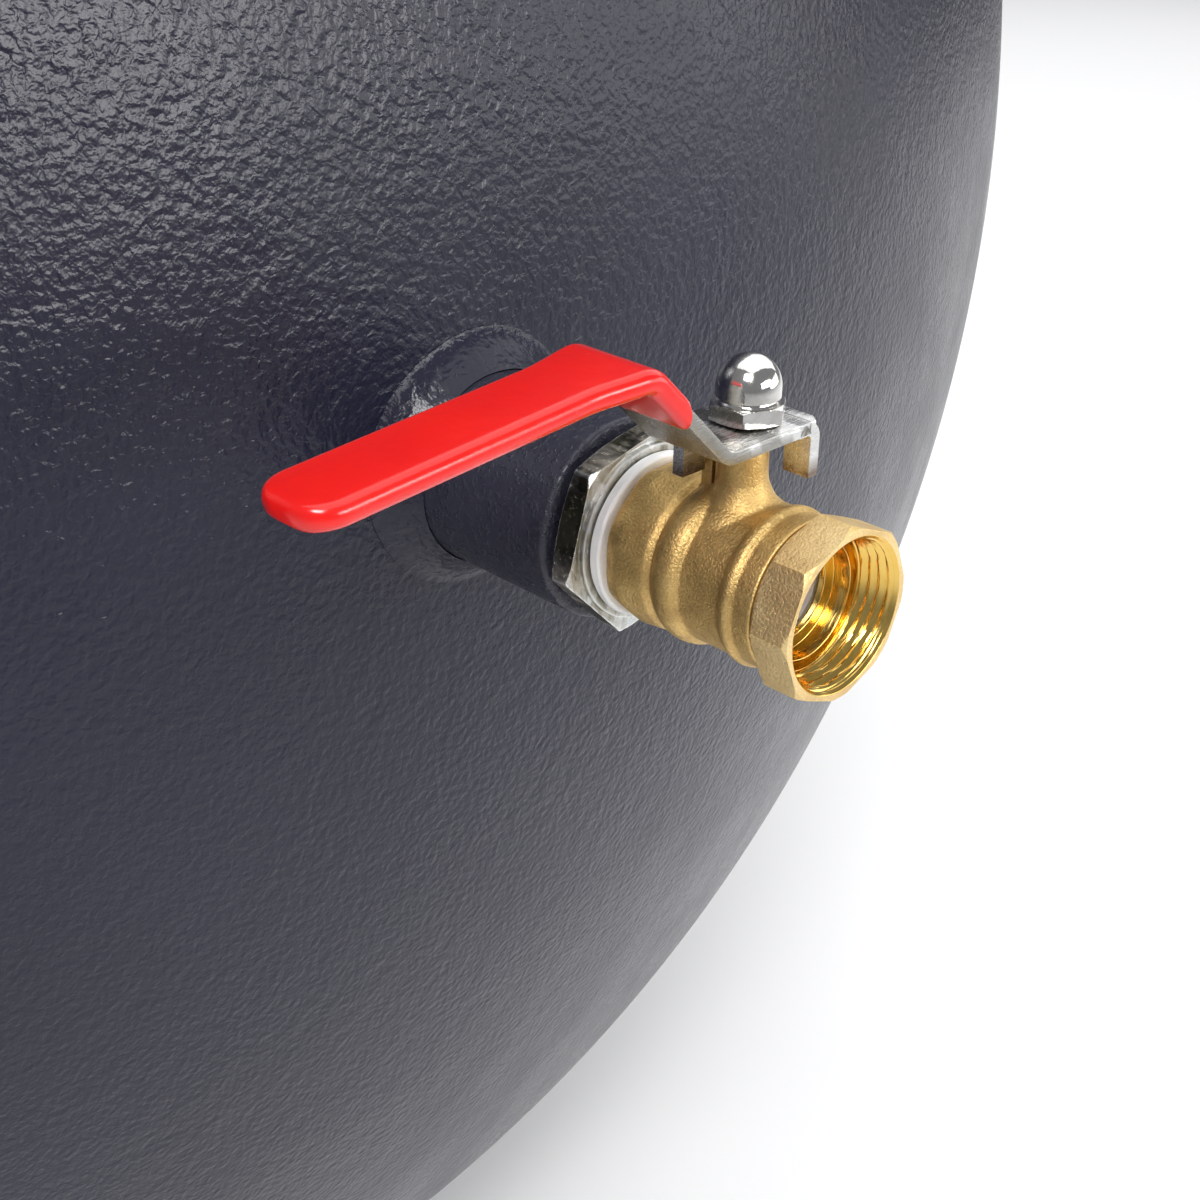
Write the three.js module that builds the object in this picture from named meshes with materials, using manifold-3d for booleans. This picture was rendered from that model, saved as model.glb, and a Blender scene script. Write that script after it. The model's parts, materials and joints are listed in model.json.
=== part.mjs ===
// Horizontal welded steel pressure tank on two saddles, with a lever ball valve on its front head.
// Millimetres, +Z up. The tank's axis lies along X and the valve is on the +X head.
import * as THREE from "three";
import { mergeVertices } from "three/addons/utils/BufferGeometryUtils.js";
import Module from "manifold-3d";

const wasm = await Module();
wasm.setup();

// Clearances between pieces that fit or seat
const FIT_GAP = 0.3;
const SLEEVE_GAP = 0.15;

// Roundness: segments to a full turn
const TANK_SEGMENTS = 60;
const PORT_SEGMENTS = 30;
const VALVE_SEGMENTS = 32;
const SMALL_SEGMENTS = 20;

// Vessel
const TANK_DIAMETER = 600;
const SHELL_LENGTH = 1300;
const WALL = 5;
const KNUCKLE_RATIO = 0.1;
const HEAD_FLANGE = 18;
const SEAM_ROOT = 4;
const SEAM_WIDTH = 13;
const SEAM_HEIGHT = 2;
const GROUND_CLEARANCE = 90;

// Outlet socket, with the rear socket of the same size
const SOCKET_WALL = 6.4;
const SOCKET_PROJECTION = 38;
const SOCKET_INSIDE = 8;
const SOCKET_WELD_LEG = 6.5;
const THREAD_BORE = 24.2;
const BORE_CHAMFER = 1.2;

// Top and drain sockets on the shell
const TOP_SOCKET_DIAMETER = 46;
const TOP_THREAD_BORE = 30.4;
const DRAIN_SOCKET_DIAMETER = 30;
const DRAIN_THREAD_BORE = 18.6;
const SHELL_SOCKET_PROJECTION = 22;
const SHELL_SOCKET_INSIDE = 6;
const SHELL_WELD_LEG = 5;

// Plugs
const PLUG_ENGAGEMENT = 14;
const PLUG_HEAD_HEIGHT = 9;
const PLUG_HEAD_RATIO = 1.25;

// Saddles
const SADDLE_FROM_SHELL_END = 250;
const SADDLE_WRAP_STEPS = 8;
const WEB_THICKNESS = 8;
const BASE_THICKNESS = 8;
const BASE_WIDTH = 90;
const BASE_OVERHANG = 20;
const BOLT_HOLE_DIAMETER = 14;
const BOLT_EDGE = 30;
const BOLT_FROM_WEB = 24;
const GUSSET_THICKNESS = 6;
const GUSSET_DEPTH = 26;
const GUSSET_HEIGHT = 60;
const GUSSET_FROM_MIDDLE = 130;
const SADDLE_WELD_WIDTH = 5;
const SADDLE_WELD_HEIGHT = 5;

// Hex nipple and its seal
const NIPPLE_SHOWN_THREAD = 1;
const NIPPLE_ENGAGEMENT = 12;
const NIPPLE_WALL = 3.3;
const NIPPLE_HEX_WALL = 4.4;
const NIPPLE_HEX_WIDTH = 5;
const NIPPLE_HEX_TURN_DEG = 44;
const NIPPLE_COLLAR_WALL = 3.7;
const NIPPLE_COLLAR_WIDTH = 1.1;
const SEAL_WIDTH = 2;
const SEAL_WALL = 2.6;
const SEAL_BEVEL = 0.8;

// Valve body: places along X count from the stem's axis
const BODY_THREAD_LENGTH = 6.3;
const BODY_WRENCH_WALL = 2;
const BODY_WRENCH_LENGTH = 9;
const BODY_WRENCH_ROUNDING = 0.5;
const BODY_WALL = 1.5;
const REAR_RIDGE_FROM_WRENCH = 4.4;
const REAR_RIDGE_HEIGHT = 1.3;
const REAR_RIDGE_WIDTH = 5;
const FRONT_RIDGE_FROM_SEAM = 5.1;
const FRONT_RIDGE_HEIGHT = 0.6;
const FRONT_RIDGE_WIDTH = 2.2;
const REAR_WEB = 0.8;

// Neck of the body, with the lug that stops the lever
const NECK_WALL = 0.8;
const NECK_HEIGHT = 10.3;
const NECK_FLARE = 3.6;
const NECK_CHAMFER = 0.5;
const LUG_PROUD = 3.2;
const LUG_WIDTH = 4.6;
const LUG_BELOW_NECK_TOP = 3.4;

// End cap
const CAP_LENGTH = 8.6;
const CAP_WALL = 2.05;
const CAP_THREAD_LENGTH = 7.2;
const CAP_THREAD_WEB = 0.4;
const CAP_CORNER_CHAMFER = 0.6;
const CAP_SPIGOT = 3.2;
const CAP_SPIGOT_WALL = 1.3;
const CAP_LEDGE = 1.3;

// Ball, seats and stem
const BALL_DIAMETER = 22;
const BALL_BORE = 14;
const SEAT_BORE_STEP = 0.6;
const SEAT_IN_FROM_BALL = 0.4;
const SEAT_BACK_IN_BALL = 0.9;
const SLOT_WIDTH = 4;
const SLOT_DEPTH = 2.2;
const TANG_LENGTH = 5.8;
const STEM_DIAMETER = 4.4;
const STEM_SHOULDER_PROUD = 1.2;
const STEM_SHOULDER_HEIGHT = 2.2;
const STEM_ACROSS_FLATS = 3.4;
const STEM_IN_NUT = 6;
const PACKING_WALL = 0.6;
const PACKING_HEIGHT = 3.8;

// Lever: places along Y count from the stem's axis, and the lever lies towards -Y when the valve is shut
const LEVER_THICKNESS = 2.2;
const LEVER_OVER_NECK = 0.9;
const TAB_SIDE_CLEARANCE = 1.6;
const TAB_END_CLEARANCE = 2.1;
const TAB_STOP_CLEARANCE = 0.5;
const LEVER_FIRST_BEND = 13;
const LEVER_SECOND_BEND = 29.7;
const LEVER_RISE = 16.6;
const LEVER_TIP = 86.2;
const LEVER_DROOP_DEG = 5;
const LEVER_BEND_RADIUS = 4;
const LEVER_CORNER_RADIUS = 1.5;
const TAB_DEPTH = 7.4;

// Grip sleeve
const GRIP_METAL_WIDTH = 13;
const GRIP_TAPER_LENGTH = 8;
const GRIP_WALL = 0.65;
const GRIP_START = 22.5;
const GRIP_TIP_RADIUS = 5;

// Acorn nut
const NUT_ACROSS_FLATS = 11.4;
const NUT_HEX_HEIGHT = 2.9;
const NUT_DOME_DIAMETER = 10.4;
const NUT_DOME_CENTRE = 5.2;
const NUT_TURN_DEG = -55;
const NUT_CHAMFER = 0.5;

// Places and sizes worked out from the ones above: the vessel
const TANK_RADIUS = TANK_DIAMETER / 2;
const AXIS_HEIGHT = TANK_RADIUS + GROUND_CLEARANCE;
const THREAD_RADIUS = THREAD_BORE / 2;
const SOCKET_DIAMETER = THREAD_BORE + 2 * SOCKET_WALL;
const KNUCKLE_RADIUS = TANK_DIAMETER * KNUCKLE_RATIO;
const CROWN_CENTRE = Math.sqrt((TANK_DIAMETER - KNUCKLE_RADIUS) ** 2 - (TANK_RADIUS - KNUCKLE_RADIUS) ** 2);
const SEAM_X = SHELL_LENGTH / 2 + SEAM_ROOT / 2;
const TANGENT_X = SHELL_LENGTH / 2 + SEAM_ROOT + HEAD_FLANGE;
const APEX_X = TANGENT_X + TANK_DIAMETER - CROWN_CENTRE;
const SOCKET_RIM_X = APEX_X + SOCKET_PROJECTION;
const SADDLE_X = SHELL_LENGTH / 2 - SADDLE_FROM_SHELL_END;

// Ball, seats and stem, in the valve's frame
const BALL_RADIUS = BALL_DIAMETER / 2;
const CAVITY_RADIUS = BALL_RADIUS + 2 * FIT_GAP;
const SEAT_BORE_RADIUS = BALL_BORE / 2 + SEAT_BORE_STEP;
const SEAT_RADIUS = BALL_RADIUS - SEAT_IN_FROM_BALL;
const SEAT_BACK = BALL_RADIUS - SEAT_BACK_IN_BALL;
const SHAFT_RADIUS = STEM_DIAMETER / 2;
const STEM_BORE_RADIUS = SHAFT_RADIUS + FIT_GAP;
const SHOULDER_RADIUS = SHAFT_RADIUS + STEM_SHOULDER_PROUD;
const SHOULDER_BOTTOM = BALL_RADIUS + 2 * FIT_GAP;
const SHOULDER_TOP = SHOULDER_BOTTOM + STEM_SHOULDER_HEIGHT;
const PACKING_CHAMBER_RADIUS = STEM_BORE_RADIUS + PACKING_WALL + FIT_GAP;

// Body and cap, in the valve's frame
const WEB_BACK = SEAT_BACK + FIT_GAP + REAR_WEB;
const BODY_REAR = WEB_BACK + BODY_THREAD_LENGTH;
const BODY_RADIUS = CAVITY_RADIUS + BODY_WALL;
const WRENCH_END = BODY_WRENCH_LENGTH - BODY_REAR;
const SPIGOT_BACK = SEAT_BACK + 2 * FIT_GAP;
const CAP_SEAM = SPIGOT_BACK + CAP_SPIGOT;
const BODY_FRONT = CAP_SEAM - FIT_GAP;
const CAP_FACE = CAP_SEAM + CAP_LENGTH;
const NECK_RADIUS = PACKING_CHAMBER_RADIUS + NECK_WALL;
const NECK_TOP = BODY_RADIUS + NECK_HEIGHT;
const PACKING_TOP = NECK_TOP - FIT_GAP;

// Lever and nut, in the valve's frame
const LEVER_UNDERSIDE = NECK_TOP + LEVER_OVER_NECK;
const LEVER_TOP = LEVER_UNDERSIDE + LEVER_THICKNESS;
const LEVER_HALF = NECK_RADIUS + TAB_SIDE_CLEARANCE + LEVER_THICKNESS;
const LEVER_BACK = NECK_RADIUS + TAB_END_CLEARANCE + LEVER_THICKNESS;
const TAB_FROM_MIDDLE = LUG_WIDTH / 2 + TAB_STOP_CLEARANCE;
const NUT_BOTTOM = LEVER_TOP + FIT_GAP;
const STEM_TOP = NUT_BOTTOM + STEM_IN_NUT;

// From the vessel out to the valve
const HEX_BACK_X = SOCKET_RIM_X + NIPPLE_SHOWN_THREAD;
const COLLAR_FRONT_X = HEX_BACK_X + NIPPLE_HEX_WIDTH + NIPPLE_COLLAR_WIDTH;
const SEAL_BACK_X = COLLAR_FRONT_X + FIT_GAP;
const STEM_X = SEAL_BACK_X + SEAL_WIDTH + FIT_GAP + BODY_REAR;
const REAR_EXTREME = SOCKET_RIM_X + FIT_GAP + PLUG_HEAD_HEIGHT;
const MIDDLE_X = (STEM_X + CAP_FACE - REAR_EXTREME) / 2;

const radians = THREE.MathUtils.degToRad;

const MATERIALS = {
  tank_paint: { color: 0x42434f, roughness: 0.35, metalness: 0.1 },
  cast_brass: { color: 0xb08d4c, roughness: 0.45, metalness: 0.9 },
  machined_brass: { color: 0xd0a750, roughness: 0.25, metalness: 1 },
  zinc_plate: { color: 0xb4b3aa, roughness: 0.4, metalness: 0.9 },
  plated_steel: { color: 0xc2c3c0, roughness: 0.3, metalness: 0.9 },
  nickel_plate: { color: 0xdadada, roughness: 0.12, metalness: 1 },
  chrome_ball: { color: 0x9a9da0, roughness: 0.15, metalness: 1 },
  red_vinyl: { color: 0xf02a20, roughness: 0.25, metalness: 0 },
  white_ptfe: { color: 0xf0f0ee, roughness: 0.6, metalness: 0 },
};

// ---- Solids ----

// A geometry as a manifold-3d solid.
function toSolid(geometry) {
  const bare = geometry.clone();
  bare.deleteAttribute("normal");
  bare.deleteAttribute("uv");
  const merged = mergeVertices(bare, 1e-4);
  return new wasm.Manifold(
    new wasm.Mesh({
      numProp: 3,
      vertProperties: new Float32Array(merged.attributes.position.array),
      triVerts: new Uint32Array(merged.index.array),
    }),
  );
}

// A manifold-3d solid as a geometry with flat faces.
function toGeometry(solid) {
  const mesh = solid.getMesh();
  const geometry = new THREE.BufferGeometry();
  const positions = new Float32Array(mesh.vertProperties);
  geometry.setAttribute("position", new THREE.BufferAttribute(positions, 3));
  geometry.setIndex(new THREE.BufferAttribute(new Uint32Array(mesh.triVerts), 1));
  const flat = geometry.toNonIndexed();
  flat.computeVertexNormals();
  return flat;
}

const union = (first, ...rest) =>
  toGeometry(rest.reduce((sum, next) => sum.add(toSolid(next)), toSolid(first)));
const subtract = (first, ...rest) =>
  toGeometry(rest.reduce((left, next) => left.subtract(toSolid(next)), toSolid(first)));
const intersect = (first, second) => toGeometry(toSolid(first).intersect(toSolid(second)));

// A closed outline of [radius, height] points turned about Z.
function turned(outline, segments) {
  const area = outline.reduce((sum, [r, z], i) => {
    const [nextR, nextZ] = outline[(i + 1) % outline.length];
    return sum + r * nextZ - nextR * z;
  }, 0);
  const ordered = area > 0 ? outline : [...outline].reverse();
  const points = [...ordered, ordered[0]].map(([r, z]) => new THREE.Vector2(r, z));
  return new THREE.LatheGeometry(points, segments).rotateX(Math.PI / 2);
}

// The same, turned about X with heights along +X.
const turnedAlongX = (outline, segments) => turned(outline, segments).rotateY(Math.PI / 2);

function cylinder(radius, bottom, top, segments) {
  return new THREE.CylinderGeometry(radius, radius, top - bottom, segments)
    .rotateX(Math.PI / 2)
    .translate(0, 0, (bottom + top) / 2);
}

function box(from, to) {
  const [x0, y0, z0] = from;
  const [x1, y1, z1] = to;
  return new THREE.BoxGeometry(x1 - x0, y1 - y0, z1 - z0).translate(
    (x0 + x1) / 2,
    (y0 + y1) / 2,
    (z0 + z1) / 2,
  );
}

// A prism along Z with its flats a given distance apart and one corner at the given angle.
function prism(sides, acrossFlats, bottom, top, turn = 0) {
  const corners = Array.from({ length: sides }, (_, i) => {
    const angle = turn + (i * 2 * Math.PI) / sides;
    const radius = acrossFlats / 2 / Math.cos(Math.PI / sides);
    return new THREE.Vector2(radius * Math.cos(angle), radius * Math.sin(angle));
  });
  const extrusion = { depth: top - bottom, bevelEnabled: false };
  return new THREE.ExtrudeGeometry(new THREE.Shape(corners), extrusion).translate(0, 0, bottom);
}

// Points [radius, height] on an arc about [0 or a radius, height].
function arc(centre, radius, fromAngle, toAngle, steps) {
  return Array.from({ length: steps + 1 }, (_, i) => {
    const angle = fromAngle + ((toAngle - fromAngle) * i) / steps;
    return [centre[0] + radius * Math.cos(angle), centre[1] + radius * Math.sin(angle)];
  });
}

// ---- Scene graph ----

const root = new THREE.Group();

function addPiece(parent, name, material, geometry) {
  const mesh = new THREE.Mesh(geometry, new THREE.MeshStandardMaterial(MATERIALS[material]));
  mesh.name = name;
  parent.add(mesh);
  return mesh;
}

// ---- Vessel ----

// Dished head: a crown as wide as the tank, a knuckle and a short flange, round a hole for its socket.
function headGeometry() {
  const hole = SOCKET_DIAMETER / 2 + FIT_GAP;
  const join = Math.asin((TANK_RADIUS - KNUCKLE_RADIUS) / (TANK_DIAMETER - KNUCKLE_RADIUS));
  const side = (thickness, steps) => {
    const crown = TANK_DIAMETER - thickness;
    const edge = Math.asin(hole / crown);
    const crownArc = arc([0, -CROWN_CENTRE], crown, Math.PI / 2 - edge, Math.PI / 2 - join, steps + 1);
    const knuckle = KNUCKLE_RADIUS - thickness;
    const knuckleArc = arc([TANK_RADIUS - KNUCKLE_RADIUS, 0], knuckle, Math.PI / 2 - join, 0, steps);
    return [...crownArc, ...knuckleArc.slice(1), [TANK_RADIUS - thickness, -HEAD_FLANGE]];
  };
  return turnedAlongX([...side(0, 4), ...side(WALL, 3).reverse()], TANK_SEGMENTS);
}

function shellGeometry() {
  const half = SHELL_LENGTH / 2;
  const inner = TANK_RADIUS - WALL;
  const wall = [[TANK_RADIUS, -half], [TANK_RADIUS, half], [inner, half], [inner, -half]];
  const tube = turnedAlongX(wall, TANK_SEGMENTS);
  const topHole = cylinder(TOP_SOCKET_DIAMETER / 2 + FIT_GAP, 0, TANK_DIAMETER, PORT_SEGMENTS);
  const drainHole = cylinder(DRAIN_SOCKET_DIAMETER / 2 + FIT_GAP, -TANK_DIAMETER, 0, PORT_SEGMENTS);
  return subtract(tube, topHole, drainHole);
}

// Seam weld: a root between the two edges under a low rounded cap.
function seamWeldGeometry() {
  const root = SEAM_ROOT / 2 - FIT_GAP;
  const surface = TANK_RADIUS + FIT_GAP;
  const cap = arc([0, 0], 1, 0, Math.PI, 4).map(([across, up]) => [
    surface + SEAM_HEIGHT * up,
    (SEAM_WIDTH / 2) * across,
  ]);
  const inner = TANK_RADIUS - WALL + FIT_GAP;
  const stem = [[surface, -root], [inner, -root], [inner, root], [surface, root]];
  return turnedAlongX([...cap, ...stem], TANK_SEGMENTS);
}

// Threaded half coupling along Z: its rim at height zero and its end at -length.
function socketGeometry(diameter, bore, length) {
  const outer = diameter / 2;
  const inner = bore / 2;
  return turned(
    [
      [inner, -length],
      [outer, -length],
      [outer, -BORE_CHAMFER / 2],
      [outer - BORE_CHAMFER / 2, 0],
      [inner + BORE_CHAMFER, 0],
      [inner, -BORE_CHAMFER],
    ],
    PORT_SEGMENTS,
  );
}

// Fillet weld round a socket: a rounded triangle from the socket's side down to the plate.
function filletOutline(diameter, leg, drop) {
  const inner = diameter / 2 + FIT_GAP;
  const face = arc([0, 0], leg, Math.PI / 2, 0, 3).map(([out, up]) => [
    inner + out,
    up + 0.2 * leg * Math.sin((Math.PI * out) / leg) - 0.2 * leg,
  ]);
  return [...face, [inner + leg, -drop], [inner, -drop]];
}

function shellWeldGeometry(diameter) {
  const ring = turned(filletOutline(diameter, SHELL_WELD_LEG, SHELL_WELD_LEG), PORT_SEGMENTS);
  const tank = cylinder(TANK_RADIUS + FIT_GAP, -SHELL_LENGTH / 2, SHELL_LENGTH / 2, TANK_SEGMENTS)
    .rotateY(Math.PI / 2)
    .translate(0, 0, -TANK_RADIUS);
  return subtract(ring, tank);
}

// Fillet weld on a head: its foot follows the crown.
function headWeldGeometry() {
  const ring = turned(filletOutline(SOCKET_DIAMETER, SOCKET_WELD_LEG, SOCKET_WELD_LEG), PORT_SEGMENTS);
  const crownRadius = TANK_DIAMETER + FIT_GAP;
  const toe = Math.asin((SOCKET_DIAMETER + 2 * SOCKET_WELD_LEG) / crownRadius);
  const cap = arc([0, -TANK_DIAMETER], crownRadius, Math.PI / 2, Math.PI / 2 - toe, 6);
  const floor = cap[cap.length - 1][0];
  const crown = turned([...cap, [floor, -3 * SOCKET_WELD_LEG], [0, -3 * SOCKET_WELD_LEG]], PORT_SEGMENTS);
  return subtract(ring, crown);
}

// Hex head plug with its seat at height zero.
function plugGeometry(bore) {
  const thread = cylinder(bore / 2 - FIT_GAP, -PLUG_ENGAGEMENT, FIT_GAP + 1, SMALL_SEGMENTS);
  const head = prism(6, bore * PLUG_HEAD_RATIO, FIT_GAP, FIT_GAP + PLUG_HEAD_HEIGHT);
  return union(thread, head);
}

function addVessel(parent) {
  addPiece(parent, "shell", "tank_paint", shellGeometry());
  for (const [end, sign] of [["front", 1], ["rear", -1]]) {
    const side = new THREE.Group();
    side.rotation.z = sign > 0 ? 0 : Math.PI;
    parent.add(side);
    addPiece(side, `${end}_head`, "tank_paint", headGeometry()).position.x = TANGENT_X;
    addPiece(side, `${end}_seam_weld`, "tank_paint", seamWeldGeometry()).position.x = SEAM_X;
    addSocketOnHead(side, end === "front" ? "outlet" : "rear");
  }
  addPortOnShell(parent, "top", TOP_SOCKET_DIAMETER, TOP_THREAD_BORE, 0);
  addPortOnShell(parent, "drain", DRAIN_SOCKET_DIAMETER, DRAIN_THREAD_BORE, Math.PI);
}

function addSocketOnHead(side, name) {
  const port = new THREE.Group();
  port.rotation.y = Math.PI / 2;
  side.add(port);
  const socket = socketGeometry(SOCKET_DIAMETER, THREAD_BORE, SOCKET_PROJECTION + WALL + SOCKET_INSIDE);
  addPiece(port, `${name}_socket`, "tank_paint", socket).position.z = SOCKET_RIM_X;
  addPiece(port, `${name}_socket_weld`, "tank_paint", headWeldGeometry()).position.z = APEX_X;
  if (name === "rear") {
    addPiece(port, "rear_plug", "zinc_plate", plugGeometry(THREAD_BORE)).position.z = SOCKET_RIM_X;
  }
}

function addPortOnShell(parent, name, diameter, bore, turn) {
  const port = new THREE.Group();
  port.rotation.x = turn;
  parent.add(port);
  const rim = TANK_RADIUS + SHELL_SOCKET_PROJECTION;
  const socket = socketGeometry(diameter, bore, SHELL_SOCKET_PROJECTION + WALL + SHELL_SOCKET_INSIDE);
  addPiece(port, `${name}_socket`, "tank_paint", socket).position.z = rim;
  addPiece(port, `${name}_socket_weld`, "tank_paint", shellWeldGeometry(diameter)).position.z = TANK_RADIUS;
  addPiece(port, `${name}_plug`, "zinc_plate", plugGeometry(bore)).position.z = rim;
}

// ---- Saddles ----

// An outline of [y, z] points, extruded along X from x = 0.
function plateAcrossX(outline, thickness) {
  const shape = new THREE.Shape(outline.map(([y, z]) => new THREE.Vector2(y, z)));
  return new THREE.ExtrudeGeometry(shape, { depth: thickness, bevelEnabled: false })
    .rotateX(Math.PI / 2)
    .rotateZ(Math.PI / 2);
}

// The tank's underside, seen along X, a gap outside its surface.
function cradleArc(gap) {
  const reach = (SADDLE_WRAP_STEPS * 2 * Math.PI) / TANK_SEGMENTS;
  const middle = -Math.PI / 2;
  return arc([0, AXIS_HEIGHT], TANK_RADIUS + gap, middle - reach, middle + reach, 2 * SADDLE_WRAP_STEPS);
}

function addSaddle(parent, name, x, outward) {
  const saddle = new THREE.Group();
  saddle.position.x = x;
  saddle.rotation.z = outward > 0 ? 0 : Math.PI;
  parent.add(saddle);
  const cradle = cradleArc(FIT_GAP);
  const half = cradle[cradle.length - 1][0];
  const foot = BASE_THICKNESS + FIT_GAP;
  const web = plateAcrossX([...cradle, [half, foot], [-half, foot]], WEB_THICKNESS);
  addPiece(saddle, `${name}_saddle_web`, "tank_paint", web).position.x = -WEB_THICKNESS / 2;

  const baseHalf = half + BASE_OVERHANG;
  const holes = [-1, 1].flatMap((side) =>
    [-1, 1].map((end) =>
      cylinder(BOLT_HOLE_DIAMETER / 2, -1, BASE_THICKNESS + 1, SMALL_SEGMENTS).translate(
        side * BOLT_FROM_WEB,
        end * (baseHalf - BOLT_EDGE),
        0,
      ),
    ),
  );
  const plate = box([-BASE_WIDTH / 2, -baseHalf, 0], [BASE_WIDTH / 2, baseHalf, BASE_THICKNESS]);
  addPiece(saddle, `${name}_saddle_base`, "tank_paint", subtract(plate, ...holes));

  const welded = cradleArc(FIT_GAP + SADDLE_WELD_HEIGHT).reverse();
  const bead = plateAcrossX([...cradle, ...welded], SADDLE_WELD_WIDTH);
  addPiece(saddle, `${name}_saddle_weld`, "tank_paint", bead).position.x = WEB_THICKNESS / 2 + FIT_GAP;

  for (const [hand, side] of [["left", 1], ["right", -1]]) {
    const near = WEB_THICKNESS / 2 + FIT_GAP;
    const slant = new THREE.Shape([
      new THREE.Vector2(near, foot),
      new THREE.Vector2(near + GUSSET_DEPTH, foot),
      new THREE.Vector2(near + GUSSET_DEPTH / 3, foot + GUSSET_HEIGHT),
      new THREE.Vector2(near, foot + GUSSET_HEIGHT),
    ]);
    const gusset = new THREE.ExtrudeGeometry(slant, { depth: GUSSET_THICKNESS, bevelEnabled: false })
      .rotateX(Math.PI / 2)
      .translate(0, GUSSET_THICKNESS / 2, 0);
    const piece = addPiece(saddle, `${name}_saddle_${hand}_gusset`, "tank_paint", gusset);
    piece.position.y = side * GUSSET_FROM_MIDDLE;
  }
}

// ---- Nipple and seal ----

function nippleGeometry() {
  const thread = THREAD_RADIUS - FIT_GAP;
  const bore = thread - NIPPLE_WALL;
  const hexFront = NIPPLE_HEX_WIDTH;
  const collarFront = hexFront + NIPPLE_COLLAR_WIDTH;
  const front = collarFront + SEAL_WIDTH + BODY_THREAD_LENGTH + FIT_GAP;
  const back = -NIPPLE_SHOWN_THREAD - NIPPLE_ENGAGEMENT;
  const collar = THREAD_RADIUS + NIPPLE_COLLAR_WALL;
  const acrossFlats = THREAD_BORE + 2 * NIPPLE_HEX_WALL;
  const tube = turned(
    [
      [thread, back],
      [thread, 1],
      [collar, 1],
      [collar, collarFront],
      [thread, collarFront],
      [thread, front],
      [bore, front],
      [bore, back],
    ],
    VALVE_SEGMENTS,
  );
  const hex = prism(6, acrossFlats, 0, hexFront, radians(NIPPLE_HEX_TURN_DEG));
  const chamfered = intersect(hex, hexChamfer(acrossFlats, hexFront));
  return union(tube, subtract(chamfered, cylinder(thread - 1, -1, hexFront + 1, VALVE_SEGMENTS)));
}

// A disc that trims the corners of a hexagon on both faces.
function hexChamfer(acrossFlats, height) {
  const corner = acrossFlats / Math.sqrt(3);
  const flat = acrossFlats / 2;
  const drop = (corner - flat) * 0.5;
  return turned(
    [
      [0, 0],
      [flat, 0],
      [corner, drop],
      [corner, height - drop],
      [flat, height],
      [0, height],
    ],
    VALVE_SEGMENTS,
  );
}

function sealGeometry() {
  const inner = THREAD_RADIUS;
  const outer = inner + SEAL_WALL;
  return turned(
    [
      [inner, 0],
      [outer, 0],
      [outer, SEAL_WIDTH - SEAL_BEVEL],
      [outer - SEAL_BEVEL, SEAL_WIDTH],
      [inner, SEAL_WIDTH],
    ],
    VALVE_SEGMENTS,
  );
}

// ---- Ball valve: its frame is the crossing of stem and bore, with the bore along X ----

// Points of a low rounded ring on the barrel.
function ridge(x, width, height) {
  return arc([0, 0], 1, 0, Math.PI, 4).map(([across, up]) => [
    BODY_RADIUS + height * up,
    x - (width / 2) * across,
  ]);
}

// Rear end of the body: an octagon for a wrench, with its corners turned round.
function wrenchEndGeometry() {
  const flats = THREAD_BORE + 2 * BODY_WRENCH_WALL;
  const round = flats / 2 + BODY_WRENCH_ROUNDING;
  const turnedEnd = turned(
    [
      [0, -BODY_REAR],
      [flats / 2, -BODY_REAR],
      [round, -BODY_REAR + BODY_WRENCH_ROUNDING],
      [round, WRENCH_END],
      [0, WRENCH_END],
    ],
    VALVE_SEGMENTS,
  );
  return intersect(turnedEnd, prism(8, flats, -BODY_REAR - 1, WRENCH_END + 1, Math.PI / 8));
}

function neckGeometry() {
  const inside = CAVITY_RADIUS / 2;
  const foot = NECK_RADIUS + NECK_FLARE;
  return turned(
    [
      [0, inside],
      [foot, inside],
      [foot, BODY_RADIUS - NECK_FLARE],
      [NECK_RADIUS + NECK_FLARE / 3, BODY_RADIUS - NECK_FLARE / 6],
      [NECK_RADIUS, BODY_RADIUS + NECK_FLARE / 2],
      [NECK_RADIUS, NECK_TOP - NECK_CHAMFER],
      [NECK_RADIUS - NECK_CHAMFER, NECK_TOP],
      [0, NECK_TOP],
    ],
    SMALL_SEGMENTS,
  );
}

function bodyGeometry() {
  const barrel = turned(
    [
      [0, WRENCH_END - 1],
      [BODY_RADIUS, WRENCH_END - 1],
      ...ridge(WRENCH_END + REAR_RIDGE_FROM_WRENCH, REAR_RIDGE_WIDTH, REAR_RIDGE_HEIGHT),
      ...ridge(BODY_FRONT - FRONT_RIDGE_FROM_SEAM, FRONT_RIDGE_WIDTH, FRONT_RIDGE_HEIGHT),
      [BODY_RADIUS, BODY_FRONT],
      [0, BODY_FRONT],
    ],
    VALVE_SEGMENTS,
  );
  const alongX = union(wrenchEndGeometry(), barrel).rotateY(Math.PI / 2);
  const lug = box(
    [-NECK_RADIUS - LUG_PROUD, -LUG_WIDTH / 2, CAVITY_RADIUS / 2],
    [0, LUG_WIDTH / 2, NECK_TOP - LUG_BELOW_NECK_TOP],
  );
  return subtract(union(alongX, neckGeometry(), lug), bodyBoreGeometry(), stemPassageGeometry());
}

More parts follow.
